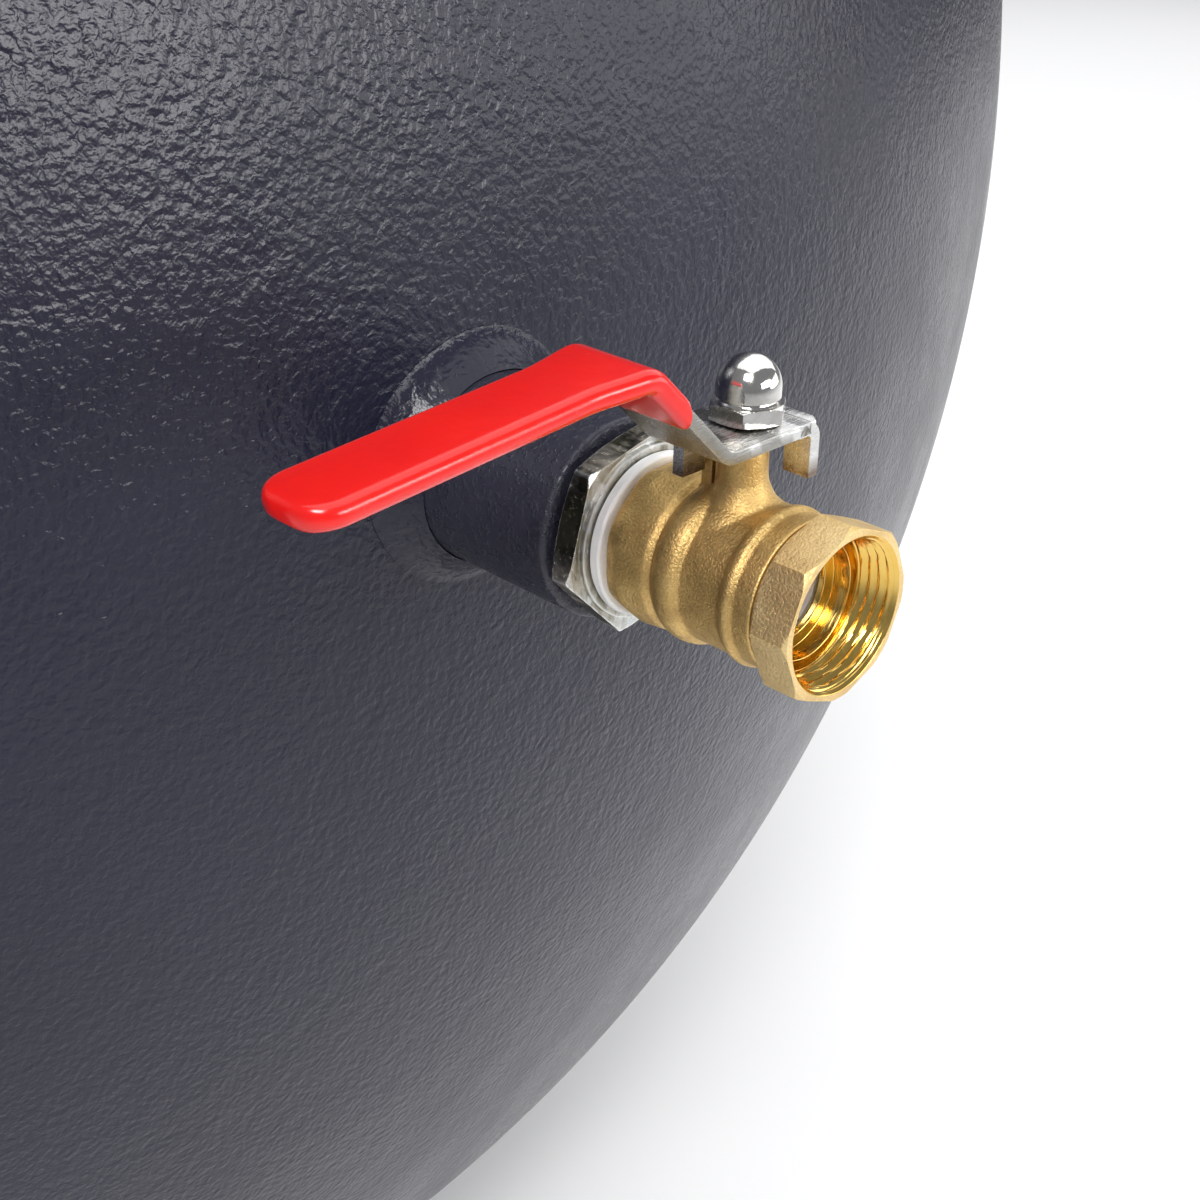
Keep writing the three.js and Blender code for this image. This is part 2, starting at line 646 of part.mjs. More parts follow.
// Thread for the nipple, seat pocket and ball cavity, open at both ends.
function bodyBoreGeometry() {
  const pocket = SEAT_RADIUS + FIT_GAP;
  const pocketBack = -SEAT_BACK - FIT_GAP;
  const pocketFront = -Math.sqrt(CAVITY_RADIUS ** 2 - pocket ** 2);
  return turnedAlongX(
    [
      [0, -BODY_REAR - 1],
      [THREAD_RADIUS, -BODY_REAR - 1],
      [THREAD_RADIUS, -WEB_BACK],
      [SEAT_BORE_RADIUS, -WEB_BACK],
      [SEAT_BORE_RADIUS, pocketBack],
      [pocket, pocketBack],
      [pocket, pocketFront],
      [CAVITY_RADIUS, pocketFront],
      [CAVITY_RADIUS, BODY_FRONT + 1],
      [0, BODY_FRONT + 1],
    ],
    VALVE_SEGMENTS,
  );
}

function stemPassageGeometry() {
  const shoulder = SHOULDER_RADIUS + FIT_GAP;
  const chamberFloor = PACKING_TOP - PACKING_HEIGHT - FIT_GAP;
  return turned(
    [
      [0, 0],
      [shoulder, 0],
      [shoulder, SHOULDER_TOP + FIT_GAP],
      [STEM_BORE_RADIUS, SHOULDER_TOP + FIT_GAP],
      [STEM_BORE_RADIUS, chamberFloor],
      [PACKING_CHAMBER_RADIUS, chamberFloor],
      [PACKING_CHAMBER_RADIUS, NECK_TOP + 1],
      [0, NECK_TOP + 1],
    ],
    SMALL_SEGMENTS,
  );
}

// Threaded end of the valve: an octagon for a wrench on a round barrel with a spigot.
function capGeometry() {
  const flats = THREAD_BORE + 2 * CAP_WALL;
  const corner = flats / 2 / Math.cos(Math.PI / 8);
  const wrenchBack = CAP_FACE - CAP_THREAD_LENGTH - CAP_THREAD_WEB;
  const rounding = turned(
    [
      [0, wrenchBack],
      [flats / 2 - CAP_CORNER_CHAMFER, wrenchBack],
      [corner, wrenchBack + CAP_CORNER_CHAMFER],
      [corner, CAP_FACE - CAP_CORNER_CHAMFER],
      [corner - CAP_CORNER_CHAMFER, CAP_FACE],
      [0, CAP_FACE],
    ],
    VALVE_SEGMENTS,
  );
  const octagon = intersect(prism(8, flats, wrenchBack, CAP_FACE), rounding);
  const spigot = CAVITY_RADIUS - FIT_GAP;
  const barrel = turned(
    [
      [0, SPIGOT_BACK],
      [spigot, SPIGOT_BACK],
      [spigot, CAP_SEAM],
      [BODY_RADIUS, CAP_SEAM],
      [BODY_RADIUS, wrenchBack + 1],
      [0, wrenchBack + 1],
    ],
    VALVE_SEGMENTS,
  );
  return subtract(union(octagon, barrel), capBoreGeometry()).rotateY(Math.PI / 2);
}

// Outlet bore from the ball out: a ledge, a smooth stretch, the thread's core and the mouth's chamfer.
function capBoreGeometry() {
  const smooth = CAVITY_RADIUS - FIT_GAP - CAP_SPIGOT_WALL;
  const ledgeFront = SPIGOT_BACK + CAP_LEDGE;
  const smoothFront = CAP_FACE - CAP_THREAD_LENGTH;
  return turned(
    [
      [0, SPIGOT_BACK - 1],
      [SEAT_BORE_RADIUS, SPIGOT_BACK - 1],
      [SEAT_BORE_RADIUS, ledgeFront],
      [smooth, ledgeFront],
      [smooth, smoothFront],
      [THREAD_RADIUS, smoothFront],
      [THREAD_RADIUS, CAP_FACE - BORE_CHAMFER],
      [THREAD_RADIUS + BORE_CHAMFER, CAP_FACE],
      [THREAD_RADIUS + BORE_CHAMFER, CAP_FACE + 1],
      [0, CAP_FACE + 1],
    ],
    VALVE_SEGMENTS,
  );
}

// Seat ring: its front is hollowed to the ball.
function seatGeometry() {
  const hollow = BALL_RADIUS + FIT_GAP;
  const inner = Math.acos(SEAT_BORE_RADIUS / hollow);
  const outer = Math.acos(SEAT_RADIUS / hollow);
  const face = arc([0, 0], hollow, outer, inner, 4);
  return turnedAlongX([...face, [SEAT_BORE_RADIUS, SEAT_BACK], [SEAT_RADIUS, SEAT_BACK]], VALVE_SEGMENTS);
}

function ballGeometry() {
  const meridian = arc([0, 0], BALL_RADIUS, -Math.PI / 2, Math.PI / 2, 12).slice(1, -1);
  const sphere = turned([[0, -BALL_RADIUS], ...meridian, [0, BALL_RADIUS]], VALVE_SEGMENTS);
  const bore = cylinder(BALL_BORE / 2, -BALL_DIAMETER, BALL_DIAMETER, SMALL_SEGMENTS).rotateX(Math.PI / 2);
  const slot = box(
    [-BALL_DIAMETER, -SLOT_WIDTH / 2, BALL_RADIUS - SLOT_DEPTH],
    [BALL_DIAMETER, SLOT_WIDTH / 2, BALL_DIAMETER],
  );
  return subtract(sphere, bore, slot);
}

// A round section with two flats across X.
function doubleFlatShape(radius, acrossFlats) {
  const half = acrossFlats / 2;
  const turn = Math.acos(half / radius);
  const right = arc([0, 0], radius, turn, Math.PI - turn, 6);
  const left = arc([0, 0], radius, Math.PI + turn, 2 * Math.PI - turn, 6);
  return new THREE.Shape([...right, ...left].map(([x, y]) => new THREE.Vector2(x, y)));
}

function stemGeometry() {
  const tang = box(
    [-TANG_LENGTH / 2, -SLOT_WIDTH / 2 + FIT_GAP, BALL_RADIUS - SLOT_DEPTH + FIT_GAP],
    [TANG_LENGTH / 2, SLOT_WIDTH / 2 - FIT_GAP, SHOULDER_BOTTOM + 1],
  );
  const round = turned(
    [
      [0, SHOULDER_BOTTOM],
      [SHOULDER_RADIUS, SHOULDER_BOTTOM],
      [SHOULDER_RADIUS, SHOULDER_TOP],
      [SHAFT_RADIUS, SHOULDER_TOP],
      [SHAFT_RADIUS, NECK_TOP],
      [0, NECK_TOP],
    ],
    SMALL_SEGMENTS,
  );
  const flatted = new THREE.ExtrudeGeometry(doubleFlatShape(SHAFT_RADIUS, STEM_ACROSS_FLATS), {
    depth: STEM_TOP - NECK_TOP + 1,
    bevelEnabled: false,
  }).translate(0, 0, NECK_TOP - 1);
  return union(tang, round, flatted);
}

function packingGeometry() {
  const inner = STEM_BORE_RADIUS;
  const outer = inner + PACKING_WALL;
  const bottom = PACKING_TOP - PACKING_HEIGHT;
  const section = [[inner, bottom], [outer, bottom], [outer, PACKING_TOP], [inner, PACKING_TOP]];
  return turned(section, SMALL_SEGMENTS);
}

// ---- Lever ----

// The lever's middle line as [outward, height] points: level, up the crank, then drooping along the grip.
function leverLine() {
  const low = LEVER_UNDERSIDE + LEVER_THICKNESS / 2;
  const high = low + LEVER_RISE;
  const droop = (LEVER_TIP - LEVER_SECOND_BEND) * Math.tan(radians(LEVER_DROOP_DEG));
  return [
    [-LEVER_BACK, low],
    [LEVER_FIRST_BEND, low],
    [LEVER_SECOND_BEND, high],
    [LEVER_TIP, high - droop],
  ];
}

// A line with its inner corners rounded.
function roundedLine(line, radius, steps) {
  const path = new THREE.Path();
  path.moveTo(...line[0]);
  const points = [line[0]];
  for (let i = 1; i < line.length - 1; i += 1) {
    const corner = new THREE.Vector2(...line[i]);
    const back = new THREE.Vector2(...line[i - 1]).sub(corner).normalize();
    const on = new THREE.Vector2(...line[i + 1]).sub(corner).normalize();
    const halfAngle = Math.acos(back.dot(on)) / 2;
    const reach = radius / Math.tan(halfAngle);
    const centre = back.clone().add(on).normalize().multiplyScalar(radius / Math.sin(halfAngle)).add(corner);
    const from = back.multiplyScalar(reach).add(corner).sub(centre);
    const to = on.multiplyScalar(reach).add(corner).sub(centre);
    const sweep = Math.atan2(from.cross(to), from.dot(to));
    for (let k = 0; k <= steps; k += 1) {
      const turnedArm = from.clone().rotateAround(new THREE.Vector2(), (sweep * k) / steps);
      points.push(turnedArm.add(centre).toArray());
    }
  }
  points.push(line[line.length - 1]);
  return points;
}

// A strip of a given thickness along the lever's line, as wide as `width` across X.
function leverStrip(thickness, width, tipExtra) {
  const line = leverLine();
  const last = new THREE.Vector2(...line[3]);
  const run = last.clone().sub(new THREE.Vector2(...line[2])).normalize();
  line[3] = last.addScaledVector(run, tipExtra).toArray();
  const middle = roundedLine(line, LEVER_BEND_RADIUS, 6).map(([s, z]) => new THREE.Vector2(s, z));
  const offset = (side) =>
    middle.map((point, i) => {
      const before = middle[Math.max(i - 1, 0)];
      const after = middle[Math.min(i + 1, middle.length - 1)];
      const along = after.clone().sub(before).normalize();
      return new THREE.Vector2(-along.y, along.x).multiplyScalar((side * thickness) / 2).add(point);
    });
  const shape = new THREE.Shape([...offset(-1), ...offset(1).reverse()]);
  return new THREE.ExtrudeGeometry(shape, { depth: width, bevelEnabled: false })
    .translate(0, 0, -width / 2)
    .rotateX(Math.PI / 2)
    .rotateZ(-Math.PI / 2);
}

// What the lever keeps, seen from above: wide at the stem, narrower along the grip, with a rounded tip.
function leverPlan(extra) {
  const wide = LEVER_HALF;
  const narrow = GRIP_METAL_WIDTH / 2 + extra;
  const tip = -LEVER_TIP - extra;
  const round = GRIP_TIP_RADIUS + extra;
  const corner = LEVER_CORNER_RADIUS;
  const shape = new THREE.Shape();
  shape.moveTo(-narrow, tip + round);
  shape.absarc(-narrow + round, tip + round, round, Math.PI, 1.5 * Math.PI);
  shape.absarc(narrow - round, tip + round, round, 1.5 * Math.PI, 2 * Math.PI);
  shape.lineTo(narrow, -LEVER_SECOND_BEND);
  shape.lineTo(wide + extra, -LEVER_SECOND_BEND + GRIP_TAPER_LENGTH);
  shape.absarc(wide + extra - corner, LEVER_BACK - corner, corner, 0, Math.PI / 2);
  shape.absarc(-wide - extra + corner, LEVER_BACK - corner, corner, Math.PI / 2, Math.PI);
  shape.lineTo(-wide - extra, -LEVER_SECOND_BEND + GRIP_TAPER_LENGTH);
  shape.lineTo(-narrow, -LEVER_SECOND_BEND);
  const height = LEVER_TOP + 2 * LEVER_RISE;
  return new THREE.ExtrudeGeometry(shape, { depth: height, bevelEnabled: false, curveSegments: 6 });
}

function leverGeometry() {
  const strip = intersect(leverStrip(LEVER_THICKNESS, 2 * LEVER_HALF, 0), leverPlan(0));
  const tabBottom = LEVER_UNDERSIDE - TAB_DEPTH;
  const tabTop = LEVER_UNDERSIDE + LEVER_THICKNESS / 2;
  const sideTab = box(
    [-LEVER_HALF, -LEVER_HALF, tabBottom],
    [-LEVER_HALF + LEVER_THICKNESS, -TAB_FROM_MIDDLE, tabTop],
  );
  const endTab = box(
    [TAB_FROM_MIDDLE, LEVER_BACK - LEVER_THICKNESS, tabBottom],
    [LEVER_HALF, LEVER_BACK, tabTop],
  );
  const hole = new THREE.ExtrudeGeometry(
    doubleFlatShape(STEM_BORE_RADIUS, STEM_ACROSS_FLATS + 2 * FIT_GAP),
    { depth: LEVER_TOP, bevelEnabled: false },
  );
  return subtract(union(strip, sideTab, endTab), hole);
}

function gripGeometry() {
  const around = GRIP_WALL + SLEEVE_GAP;
  const grown = (extra) =>
    intersect(leverStrip(LEVER_THICKNESS + 2 * extra, 2 * (LEVER_HALF + extra), extra), leverPlan(extra));
  const far = LEVER_TIP * 2;
  const bare = box([-far, -GRIP_START, -far], [far, far, far]);
  return subtract(grown(around), grown(SLEEVE_GAP), bare);
}

function nutGeometry() {
  const hexTop = NUT_BOTTOM + NUT_HEX_HEIGHT;
  const corner = NUT_ACROSS_FLATS / Math.sqrt(3);
  const flat = NUT_ACROSS_FLATS / 2;
  const rounding = turned(
    [
      [0, NUT_BOTTOM],
      [flat, NUT_BOTTOM],
      [corner, NUT_BOTTOM + NUT_CHAMFER],
      [corner, hexTop - NUT_CHAMFER],
      [flat, hexTop],
      [0, hexTop],
    ],
    SMALL_SEGMENTS,
  );
  const hex = intersect(prism(6, NUT_ACROSS_FLATS, NUT_BOTTOM, hexTop, radians(NUT_TURN_DEG)), rounding);
  const domeRadius = NUT_DOME_DIAMETER / 2;
  const domeCentre = NUT_BOTTOM + NUT_DOME_CENTRE;
  const domeArc = arc([0, domeCentre], domeRadius, 0, Math.PI / 2, 7).slice(0, -1);
  const dome = turned(
    [[0, hexTop - 1], [domeRadius, hexTop - 1], ...domeArc, [0, domeCentre + domeRadius]],
    SMALL_SEGMENTS,
  );
  const blindHole = cylinder(STEM_BORE_RADIUS, NUT_BOTTOM - 1, STEM_TOP + FIT_GAP, SMALL_SEGMENTS);
  return subtract(union(hex, dome), blindHole);
}

function addValve(parent) {
  const nipple = new THREE.Group();
  nipple.rotation.y = Math.PI / 2;
  parent.add(nipple);
  addPiece(nipple, "hex_nipple", "zinc_plate", nippleGeometry()).position.z = HEX_BACK_X;
  addPiece(nipple, "ptfe_seal_ring", "white_ptfe", sealGeometry()).position.z = SEAL_BACK_X;

  const valve = new THREE.Group();
  valve.position.x = STEM_X;
  parent.add(valve);
  addPiece(valve, "valve_body", "cast_brass", bodyGeometry());
  addPiece(valve, "valve_end_cap", "cast_brass", capGeometry());
  addPiece(valve, "outer_seat", "white_ptfe", seatGeometry());
  addPiece(valve, "inner_seat", "white_ptfe", seatGeometry()).rotation.z = Math.PI;
  addPiece(valve, "stem_packing", "white_ptfe", packingGeometry());
  addPiece(valve, "ball", "chrome_ball", ballGeometry());
  addPiece(valve, "valve_stem", "machined_brass", stemGeometry());
  addPiece(valve, "lever", "plated_steel", leverGeometry());
  addPiece(valve, "lever_grip", "red_vinyl", gripGeometry());
  addPiece(valve, "lever_nut", "nickel_plate", nutGeometry());
}

// ---- Assembly ----

root.position.x = -MIDDLE_X;
const onAxis = new THREE.Group();
onAxis.position.z = AXIS_HEIGHT;
root.add(onAxis);
addVessel(onAxis);
addValve(onAxis);
addSaddle(root, "front", SADDLE_X, 1);
addSaddle(root, "rear", -SADDLE_X, -1);

export default root;
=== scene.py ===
import json
import math

import bmesh
import bpy
from mathutils import Matrix, Vector, noise


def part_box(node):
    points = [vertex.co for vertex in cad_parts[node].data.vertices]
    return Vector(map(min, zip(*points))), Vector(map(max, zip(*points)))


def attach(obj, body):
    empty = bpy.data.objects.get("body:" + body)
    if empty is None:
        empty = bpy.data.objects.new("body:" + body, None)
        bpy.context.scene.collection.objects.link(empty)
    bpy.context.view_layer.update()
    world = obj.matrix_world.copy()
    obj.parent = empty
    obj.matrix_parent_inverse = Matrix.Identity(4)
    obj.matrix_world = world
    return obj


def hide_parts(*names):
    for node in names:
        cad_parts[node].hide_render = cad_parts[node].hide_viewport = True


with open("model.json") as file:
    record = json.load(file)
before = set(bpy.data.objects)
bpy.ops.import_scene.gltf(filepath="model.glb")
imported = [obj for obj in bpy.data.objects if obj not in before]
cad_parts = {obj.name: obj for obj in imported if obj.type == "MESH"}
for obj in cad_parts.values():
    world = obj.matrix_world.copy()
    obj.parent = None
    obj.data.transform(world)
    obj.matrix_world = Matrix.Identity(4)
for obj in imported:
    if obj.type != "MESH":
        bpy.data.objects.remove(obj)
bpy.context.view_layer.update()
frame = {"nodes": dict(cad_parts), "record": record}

TAU = 2 * math.pi
MM = 0.001

# ---- Places, in the row's frame ----

JOINT = frame["record"]["behaviour"]["joints"][0]
STEM = Vector(JOINT["pos_m"])
SHELL_LOW, SHELL_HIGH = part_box("shell")
SHELL_MIDDLE = Vector(((SHELL_LOW.x + SHELL_HIGH.x) / 2, 0, STEM.z))

# Frames in millimetres: the valve's is at the crossing of stem and bore, the tank's at its middle
VALVE = Matrix.Translation(STEM) @ Matrix.Scale(MM, 4)
TANK = Matrix.Translation(SHELL_MIDDLE) @ Matrix.Scale(MM, 4)
ALONG_X = Matrix(((0, 0, 1, 0), (0, 1, 0, 0), (-1, 0, 0, 0), (0, 0, 0, 1)))
HALF_TURN = Matrix.Rotation(math.pi, 4, "Z")
QUARTER_TURN = Matrix(((0, -1, 0, 0), (1, 0, 0, 0), (0, 0, 1, 0), (0, 0, 0, 1)))

# ---- Sizes in millimetres ----

TANK_RADIUS = 300
WALL = 5
KNUCKLE = 60
HEAD_FLANGE = 18
SEAM_ROOT = 4
SHELL_HALF = (SHELL_HIGH.x - SHELL_LOW.x) / MM / 2
TANGENT_X = SHELL_HALF + SEAM_ROOT + HEAD_FLANGE
CROWN_CENTRE = math.sqrt((2 * TANK_RADIUS - KNUCKLE) ** 2 - (TANK_RADIUS - KNUCKLE) ** 2)
APEX_X = TANGENT_X + 2 * TANK_RADIUS - CROWN_CENTRE
FIT = 0.3
THREAD_RADIUS = 12.1
PITCH = 1.81

# Signs of a rectangle's corners, with the angle at which the arc round each one starts
CORNERS = ((1, 1, 0), (-1, 1, 90), (-1, -1, 180), (1, -1, 270))


# ---- Shapes ----


def arc(centre, radius, start, end, steps):
    """Points [across, up] on an arc, angles in degrees."""
    points = []
    for i in range(steps + 1):
        a = math.radians(start + (end - start) * i / steps)
        points.append((centre[0] + radius * math.cos(a), centre[1] + radius * math.sin(a)))
    return points


def rounded(outline, radius, steps=4):
    """A closed outline with its sharp corners rounded."""
    points = []
    count = len(outline)
    for i, corner in enumerate(outline):
        at = Vector(corner)
        back = Vector(outline[i - 1]) - at
        on = Vector(outline[(i + 1) % count]) - at
        if back.length < 1e-6 or on.length < 1e-6:
            points.append(tuple(at))
            continue
        half = back.angle(on) / 2
        if half > math.radians(80):
            points.append(tuple(at))
            continue
        reach = min(radius / math.tan(half), 0.45 * back.length, 0.45 * on.length)
        start = at + back.normalized() * reach
        end = at + on.normalized() * reach
        for k in range(steps + 1):
            t = k / steps
            bend = start * (1 - t) ** 2 + at * 2 * t * (1 - t) + end * t**2
            points.append(tuple(bend))
    return points


def finer(outline, longest):
    """A closed outline with no side longer than the given length."""
    points = []
    for i, corner in enumerate(outline):
        a = Vector(corner)
        b = Vector(outline[(i + 1) % len(outline)])
        cuts = max(1, math.ceil((b - a).length / longest))
        points.extend(tuple(a.lerp(b, k / cuts)) for k in range(cuts))
    return points


def lathe(outline, segments, warp=None):
    """A closed [radius, height] outline turned about Z; warp(r, h, angle) may move each point."""
    verts = []
    for j in range(segments):
        a = TAU * j / segments
        for r, h in outline:
            if warp:
                r, h = warp(r, h, a)
            verts.append((max(r, 0) * math.cos(a), max(r, 0) * math.sin(a), h))
    return verts, grid_faces(segments, len(outline), True)


def grid_faces(rings, count, closed):
    """Faces between rings of points; the rings close on each other when closed is true."""
    faces = []
    for j in range(rings if closed else rings - 1):
        on = ((j + 1) % rings) * count
        for i in range(count):
            k = (i + 1) % count
            faces.append((j * count + i, j * count + k, on + k, on + i))
    return faces


def loft(sections):
    """Rings of points joined in order and capped at both ends."""
    count = len(sections[0])
    verts = [tuple(p) for ring in sections for p in ring]
    faces = grid_faces(len(sections), count, False)
    faces.append(tuple(range(count)))
    faces.append(tuple(reversed(range(len(verts) - count, len(verts)))))
    return verts, faces


def slab(outline, bottom, top):
    """A prism along Z on an outline."""
    return loft([[(x, y, bottom) for x, y in outline], [(x, y, top) for x, y in outline]])


def block(low, high):
    """A box between two corners."""
    outline = [(low[0], low[1]), (high[0], low[1]), (high[0], high[1]), (low[0], high[1])]
    return slab(outline, low[2], high[2])


def prism_radius(angle, sides, flats, turn, corner):
    """Distance from the axis to the side of a prism with rounded corners."""
    part = TAU / sides
    off = (angle - turn + part / 2) % part - part / 2
    reach = (flats / 2 - corner) / math.cos(part / 2)
    under = corner**2 - (reach * math.sin(off)) ** 2
    flat = flats / 2 / math.cos(part / 2 - abs(off))
    if under <= 0:
        return flat
    return min(flat, reach * math.cos(off) + math.sqrt(under))


def moved(data, matrix):
    verts, faces = data
    return [tuple(matrix @ Vector(v)) for v in verts], faces


def mesh_object(name, data):
    """An object on its own, with its faces turned outward and doubled points merged."""
    verts, faces = data
    mesh = bpy.data.meshes.new(name)
    mesh.from_pydata(verts, [], faces)
    bm = bmesh.new()
    bm.from_mesh(mesh)
    bmesh.ops.remove_doubles(bm, verts=bm.verts, dist=1e-5)
    bmesh.ops.recalc_face_normals(bm, faces=bm.faces)
    bm.to_mesh(mesh)
    bm.free()
    obj = bpy.data.objects.new(name, mesh)
    bpy.context.scene.collection.objects.link(obj)
    return obj


def apply_modifiers(obj):
    """The object's mesh with its modifiers applied, in place."""
    graph = bpy.context.evaluated_depsgraph_get()
    mesh = bpy.data.meshes.new_from_object(obj.evaluated_get(graph))
    obj.modifiers.clear()
    obj.data = mesh
    return obj


def combine(obj, operation, data):
    """The object joined with or cut by another shape."""
    other = mesh_object("tool", data)
    modifier = obj.modifiers.new("combine", "BOOLEAN")
    modifier.operation = operation
    modifier.solver = "EXACT"
    modifier.object = other
    apply_modifiers(obj)
    bpy.data.objects.remove(other)
    return obj


def cast(obj, voxel, smoothing):
    """One skin over joined shapes, with the soft inner corners of a casting."""
    skin = obj.modifiers.new("skin", "REMESH")
    skin.mode = "VOXEL"
    skin.voxel_size = voxel
    soften = obj.modifiers.new("soften", "SMOOTH")
    soften.factor = 0.5
    soften.iterations = smoothing
    return apply_modifiers(obj)


def bevelled(obj, width, segments=3, angle=40):
    modifier = obj.modifiers.new("bevel", "BEVEL")
    modifier.width = width
    modifier.segments = segments
    modifier.limit_method = "ANGLE"
    modifier.angle_limit = math.radians(angle)
    modifier.harden_normals = False
    return apply_modifiers(obj)


def finish_piece(obj, name, body, slot, nodes, place, angle=38, material=None):
    """Puts a finished piece in its place, on its body and in its slot."""
    obj.name = name
    obj.data.name = name
    obj.data.transform(place)
    obj.data.shade_smooth()
    obj.data.set_sharp_from_angle(angle=math.radians(angle))
    if not obj.data.materials:
        obj.data.materials.append(MATERIALS[material or slot])
    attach(obj, body)
    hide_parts(*nodes)
    return obj


def turned_piece(
    name, outline, segments, slot, cad, place, body="tank", warp=None, angle=38, material=None
):
    """A piece turned on a lathe, in place of one CAD solid."""
    obj = mesh_object(name, lathe(outline, segments, warp))
    return finish_piece(obj, name, body, slot, [cad], place, angle, material)


# ---- Materials ----


def new_material(name, base, roughness, metallic=0.0):
    material = bpy.data.materials.new(name)
    material.use_nodes = True
    shader = material.node_tree.nodes["Principled BSDF"]
    shader.inputs["Base Color"].default_value = (*base, 1)
    shader.inputs["Roughness"].default_value = roughness
    shader.inputs["Metallic"].default_value = metallic
    return material, shader


def node(material, kind):
    return material.node_tree.nodes.new(kind)


def link(material, out, into):
    material.node_tree.links.new(out, into)


def place_node(material, stretch=(1, 1, 1)):
    """Object coordinates in metres, stretched along each axis."""
    coords = node(material, "ShaderNodeTexCoord")
    mapping = node(material, "ShaderNodeMapping")
    mapping.inputs["Scale"].default_value = stretch
    link(material, coords.outputs["Object"], mapping.inputs["Vector"])
    return mapping.outputs["Vector"]


def noise_node(material, where, scale, detail=4, roughness=0.55, distortion=0.0):
    made = node(material, "ShaderNodeTexNoise")
    made.inputs["Scale"].default_value = scale
    made.inputs["Detail"].default_value = detail
    made.inputs["Roughness"].default_value = roughness
    made.inputs["Distortion"].default_value = distortion
    link(material, where, made.inputs["Vector"])
    return made.outputs["Fac"]


def ramp(material, value, stops):
    """A colour ramp from [position, colour or grey] stops."""
    made = node(material, "ShaderNodeValToRGB")
    elements = made.color_ramp.elements
    while len(elements) < len(stops):
        elements.new(0.5)
    for element, (position, colour) in zip(elements, stops):
        element.position = position
        if isinstance(colour, (int, float)):
            colour = (colour, colour, colour)
        element.color = (*colour, 1)
    link(material, value, made.inputs["Fac"])
    return made.outputs["Color"]


def mix_colour(material, factor, first, second):
    made = node(material, "ShaderNodeMix")
    made.data_type = "RGBA"
    for socket, value in ((made.inputs[0], factor), (made.inputs[6], first), (made.inputs[7], second)):
        if isinstance(value, bpy.types.NodeSocket):
            link(material, value, socket)
        elif isinstance(value, (int, float)):
            socket.default_value = value
        else:
            socket.default_value = (*value, 1)
    return made.outputs[2]


def maths(material, operation, first, second=0.0):
    made = node(material, "ShaderNodeMath")
    made.operation = operation
    for socket, value in ((made.inputs[0], first), (made.inputs[1], second)):
        if isinstance(value, bpy.types.NodeSocket):
            link(material, value, socket)
        else:
            socket.default_value = value
    return made.outputs[0]


def bump(material, shader, height, distance, strength):
    """Roughens the shader's surface; the distance is in metres."""
    made = node(material, "ShaderNodeBump")
    made.inputs["Strength"].default_value = strength
    made.inputs["Distance"].default_value = distance
    link(material, height, made.inputs["Height"])
    link(material, made.outputs["Normal"], shader.inputs["Normal"])


def edge_wear(material, low, high):
    """Bright where the surface is convex."""
    geometry = node(material, "ShaderNodeNewGeometry")
    return ramp(material, geometry.outputs["Pointiness"], [(low, 0), (high, 1)])


def tank_paint():
    material, shader = new_material("tank_paint", (0.011, 0.011, 0.021), 0.3)
    where = place_node(material)
    broad = noise_node(material, where, 9, 3)
    tone = ramp(material, broad, [(0.3, (0.0078, 0.008, 0.0185)), (0.7, (0.0108, 0.011, 0.0255))])
    link(material, tone, shader.inputs["Base Color"])
    patches = noise_node(material, where, 26, 5, 0.6)
    gloss = ramp(material, patches, [(0.3, 0.22), (0.7, 0.33)])
    link(material, gloss, shader.inputs["Roughness"])
    peel = noise_node(material, where, 620, 2, 0.45, 0.25)
    swell = noise_node(material, where, 180, 2, 0.5)
    height = maths(material, "ADD", peel, maths(material, "MULTIPLY", swell, 0.8))
    bump(material, shader, height, 0.0006, 0.6)
    shader.inputs["Specular IOR Level"].default_value = 0.4
    return material


def boss_paint():
    """Thick paint on the bosses, with spatter."""
    material, shader = new_material("boss_paint", (0.016, 0.016, 0.03), 0.2)
    where = place_node(material)
    cloud = noise_node(material, where, 60, 4, 0.6)
    tone = ramp(material, cloud, [(0.3, (0.026, 0.026, 0.04)), (0.7, (0.038, 0.038, 0.056))])
    link(material, tone, shader.inputs["Base Color"])
    gloss = ramp(material, noise_node(material, where, 240, 4, 0.6), [(0.35, 0.24), (0.7, 0.42)])
    link(material, gloss, shader.inputs["Roughness"])
    spatter = ramp(material, noise_node(material, where, 900, 3, 0.6), [(0.52, 0), (0.66, 1)])
    height = maths(material, "ADD", noise_node(material, where, 420, 3, 0.5), spatter)
    bump(material, shader, height, 0.0003, 0.5)
    shader.inputs["Specular IOR Level"].default_value = 0.45
    return material


def cast_brass(name, low, mid, high):
    """Sand-cast brass in three tones, bright on its edges."""
    material, shader = new_material(name, mid, 0.42, 1.0)
    where = place_node(material)
    stain = noise_node(material, where, 130, 5, 0.6)
    tone = ramp(material, stain, [(0.25, low), (0.55, mid), (0.8, high)])
    worn = edge_wear(material, 0.5, 0.56)
    colour = mix_colour(material, worn, tone, (0.90, 0.66, 0.28))
    sand = noise_node(material, where, 2600, 2, 0.6)
    speckle = mix_colour(material, ramp(material, sand, [(0.42, 0), (0.66, 0.4)]), colour, low)
    link(material, speckle, shader.inputs["Base Color"])
    grain = noise_node(material, where, 2300, 2, 0.6)
    rough = ramp(material, grain, [(0.3, 0.44), (0.7, 0.6)])
    link(material, rough, shader.inputs["Roughness"])
    lumps = noise_node(material, where, 420, 2, 0.5)
    height = maths(material, "ADD", grain, maths(material, "MULTIPLY", lumps, 0.6))
    bump(material, shader, height, 0.00022, 0.7)
    return material


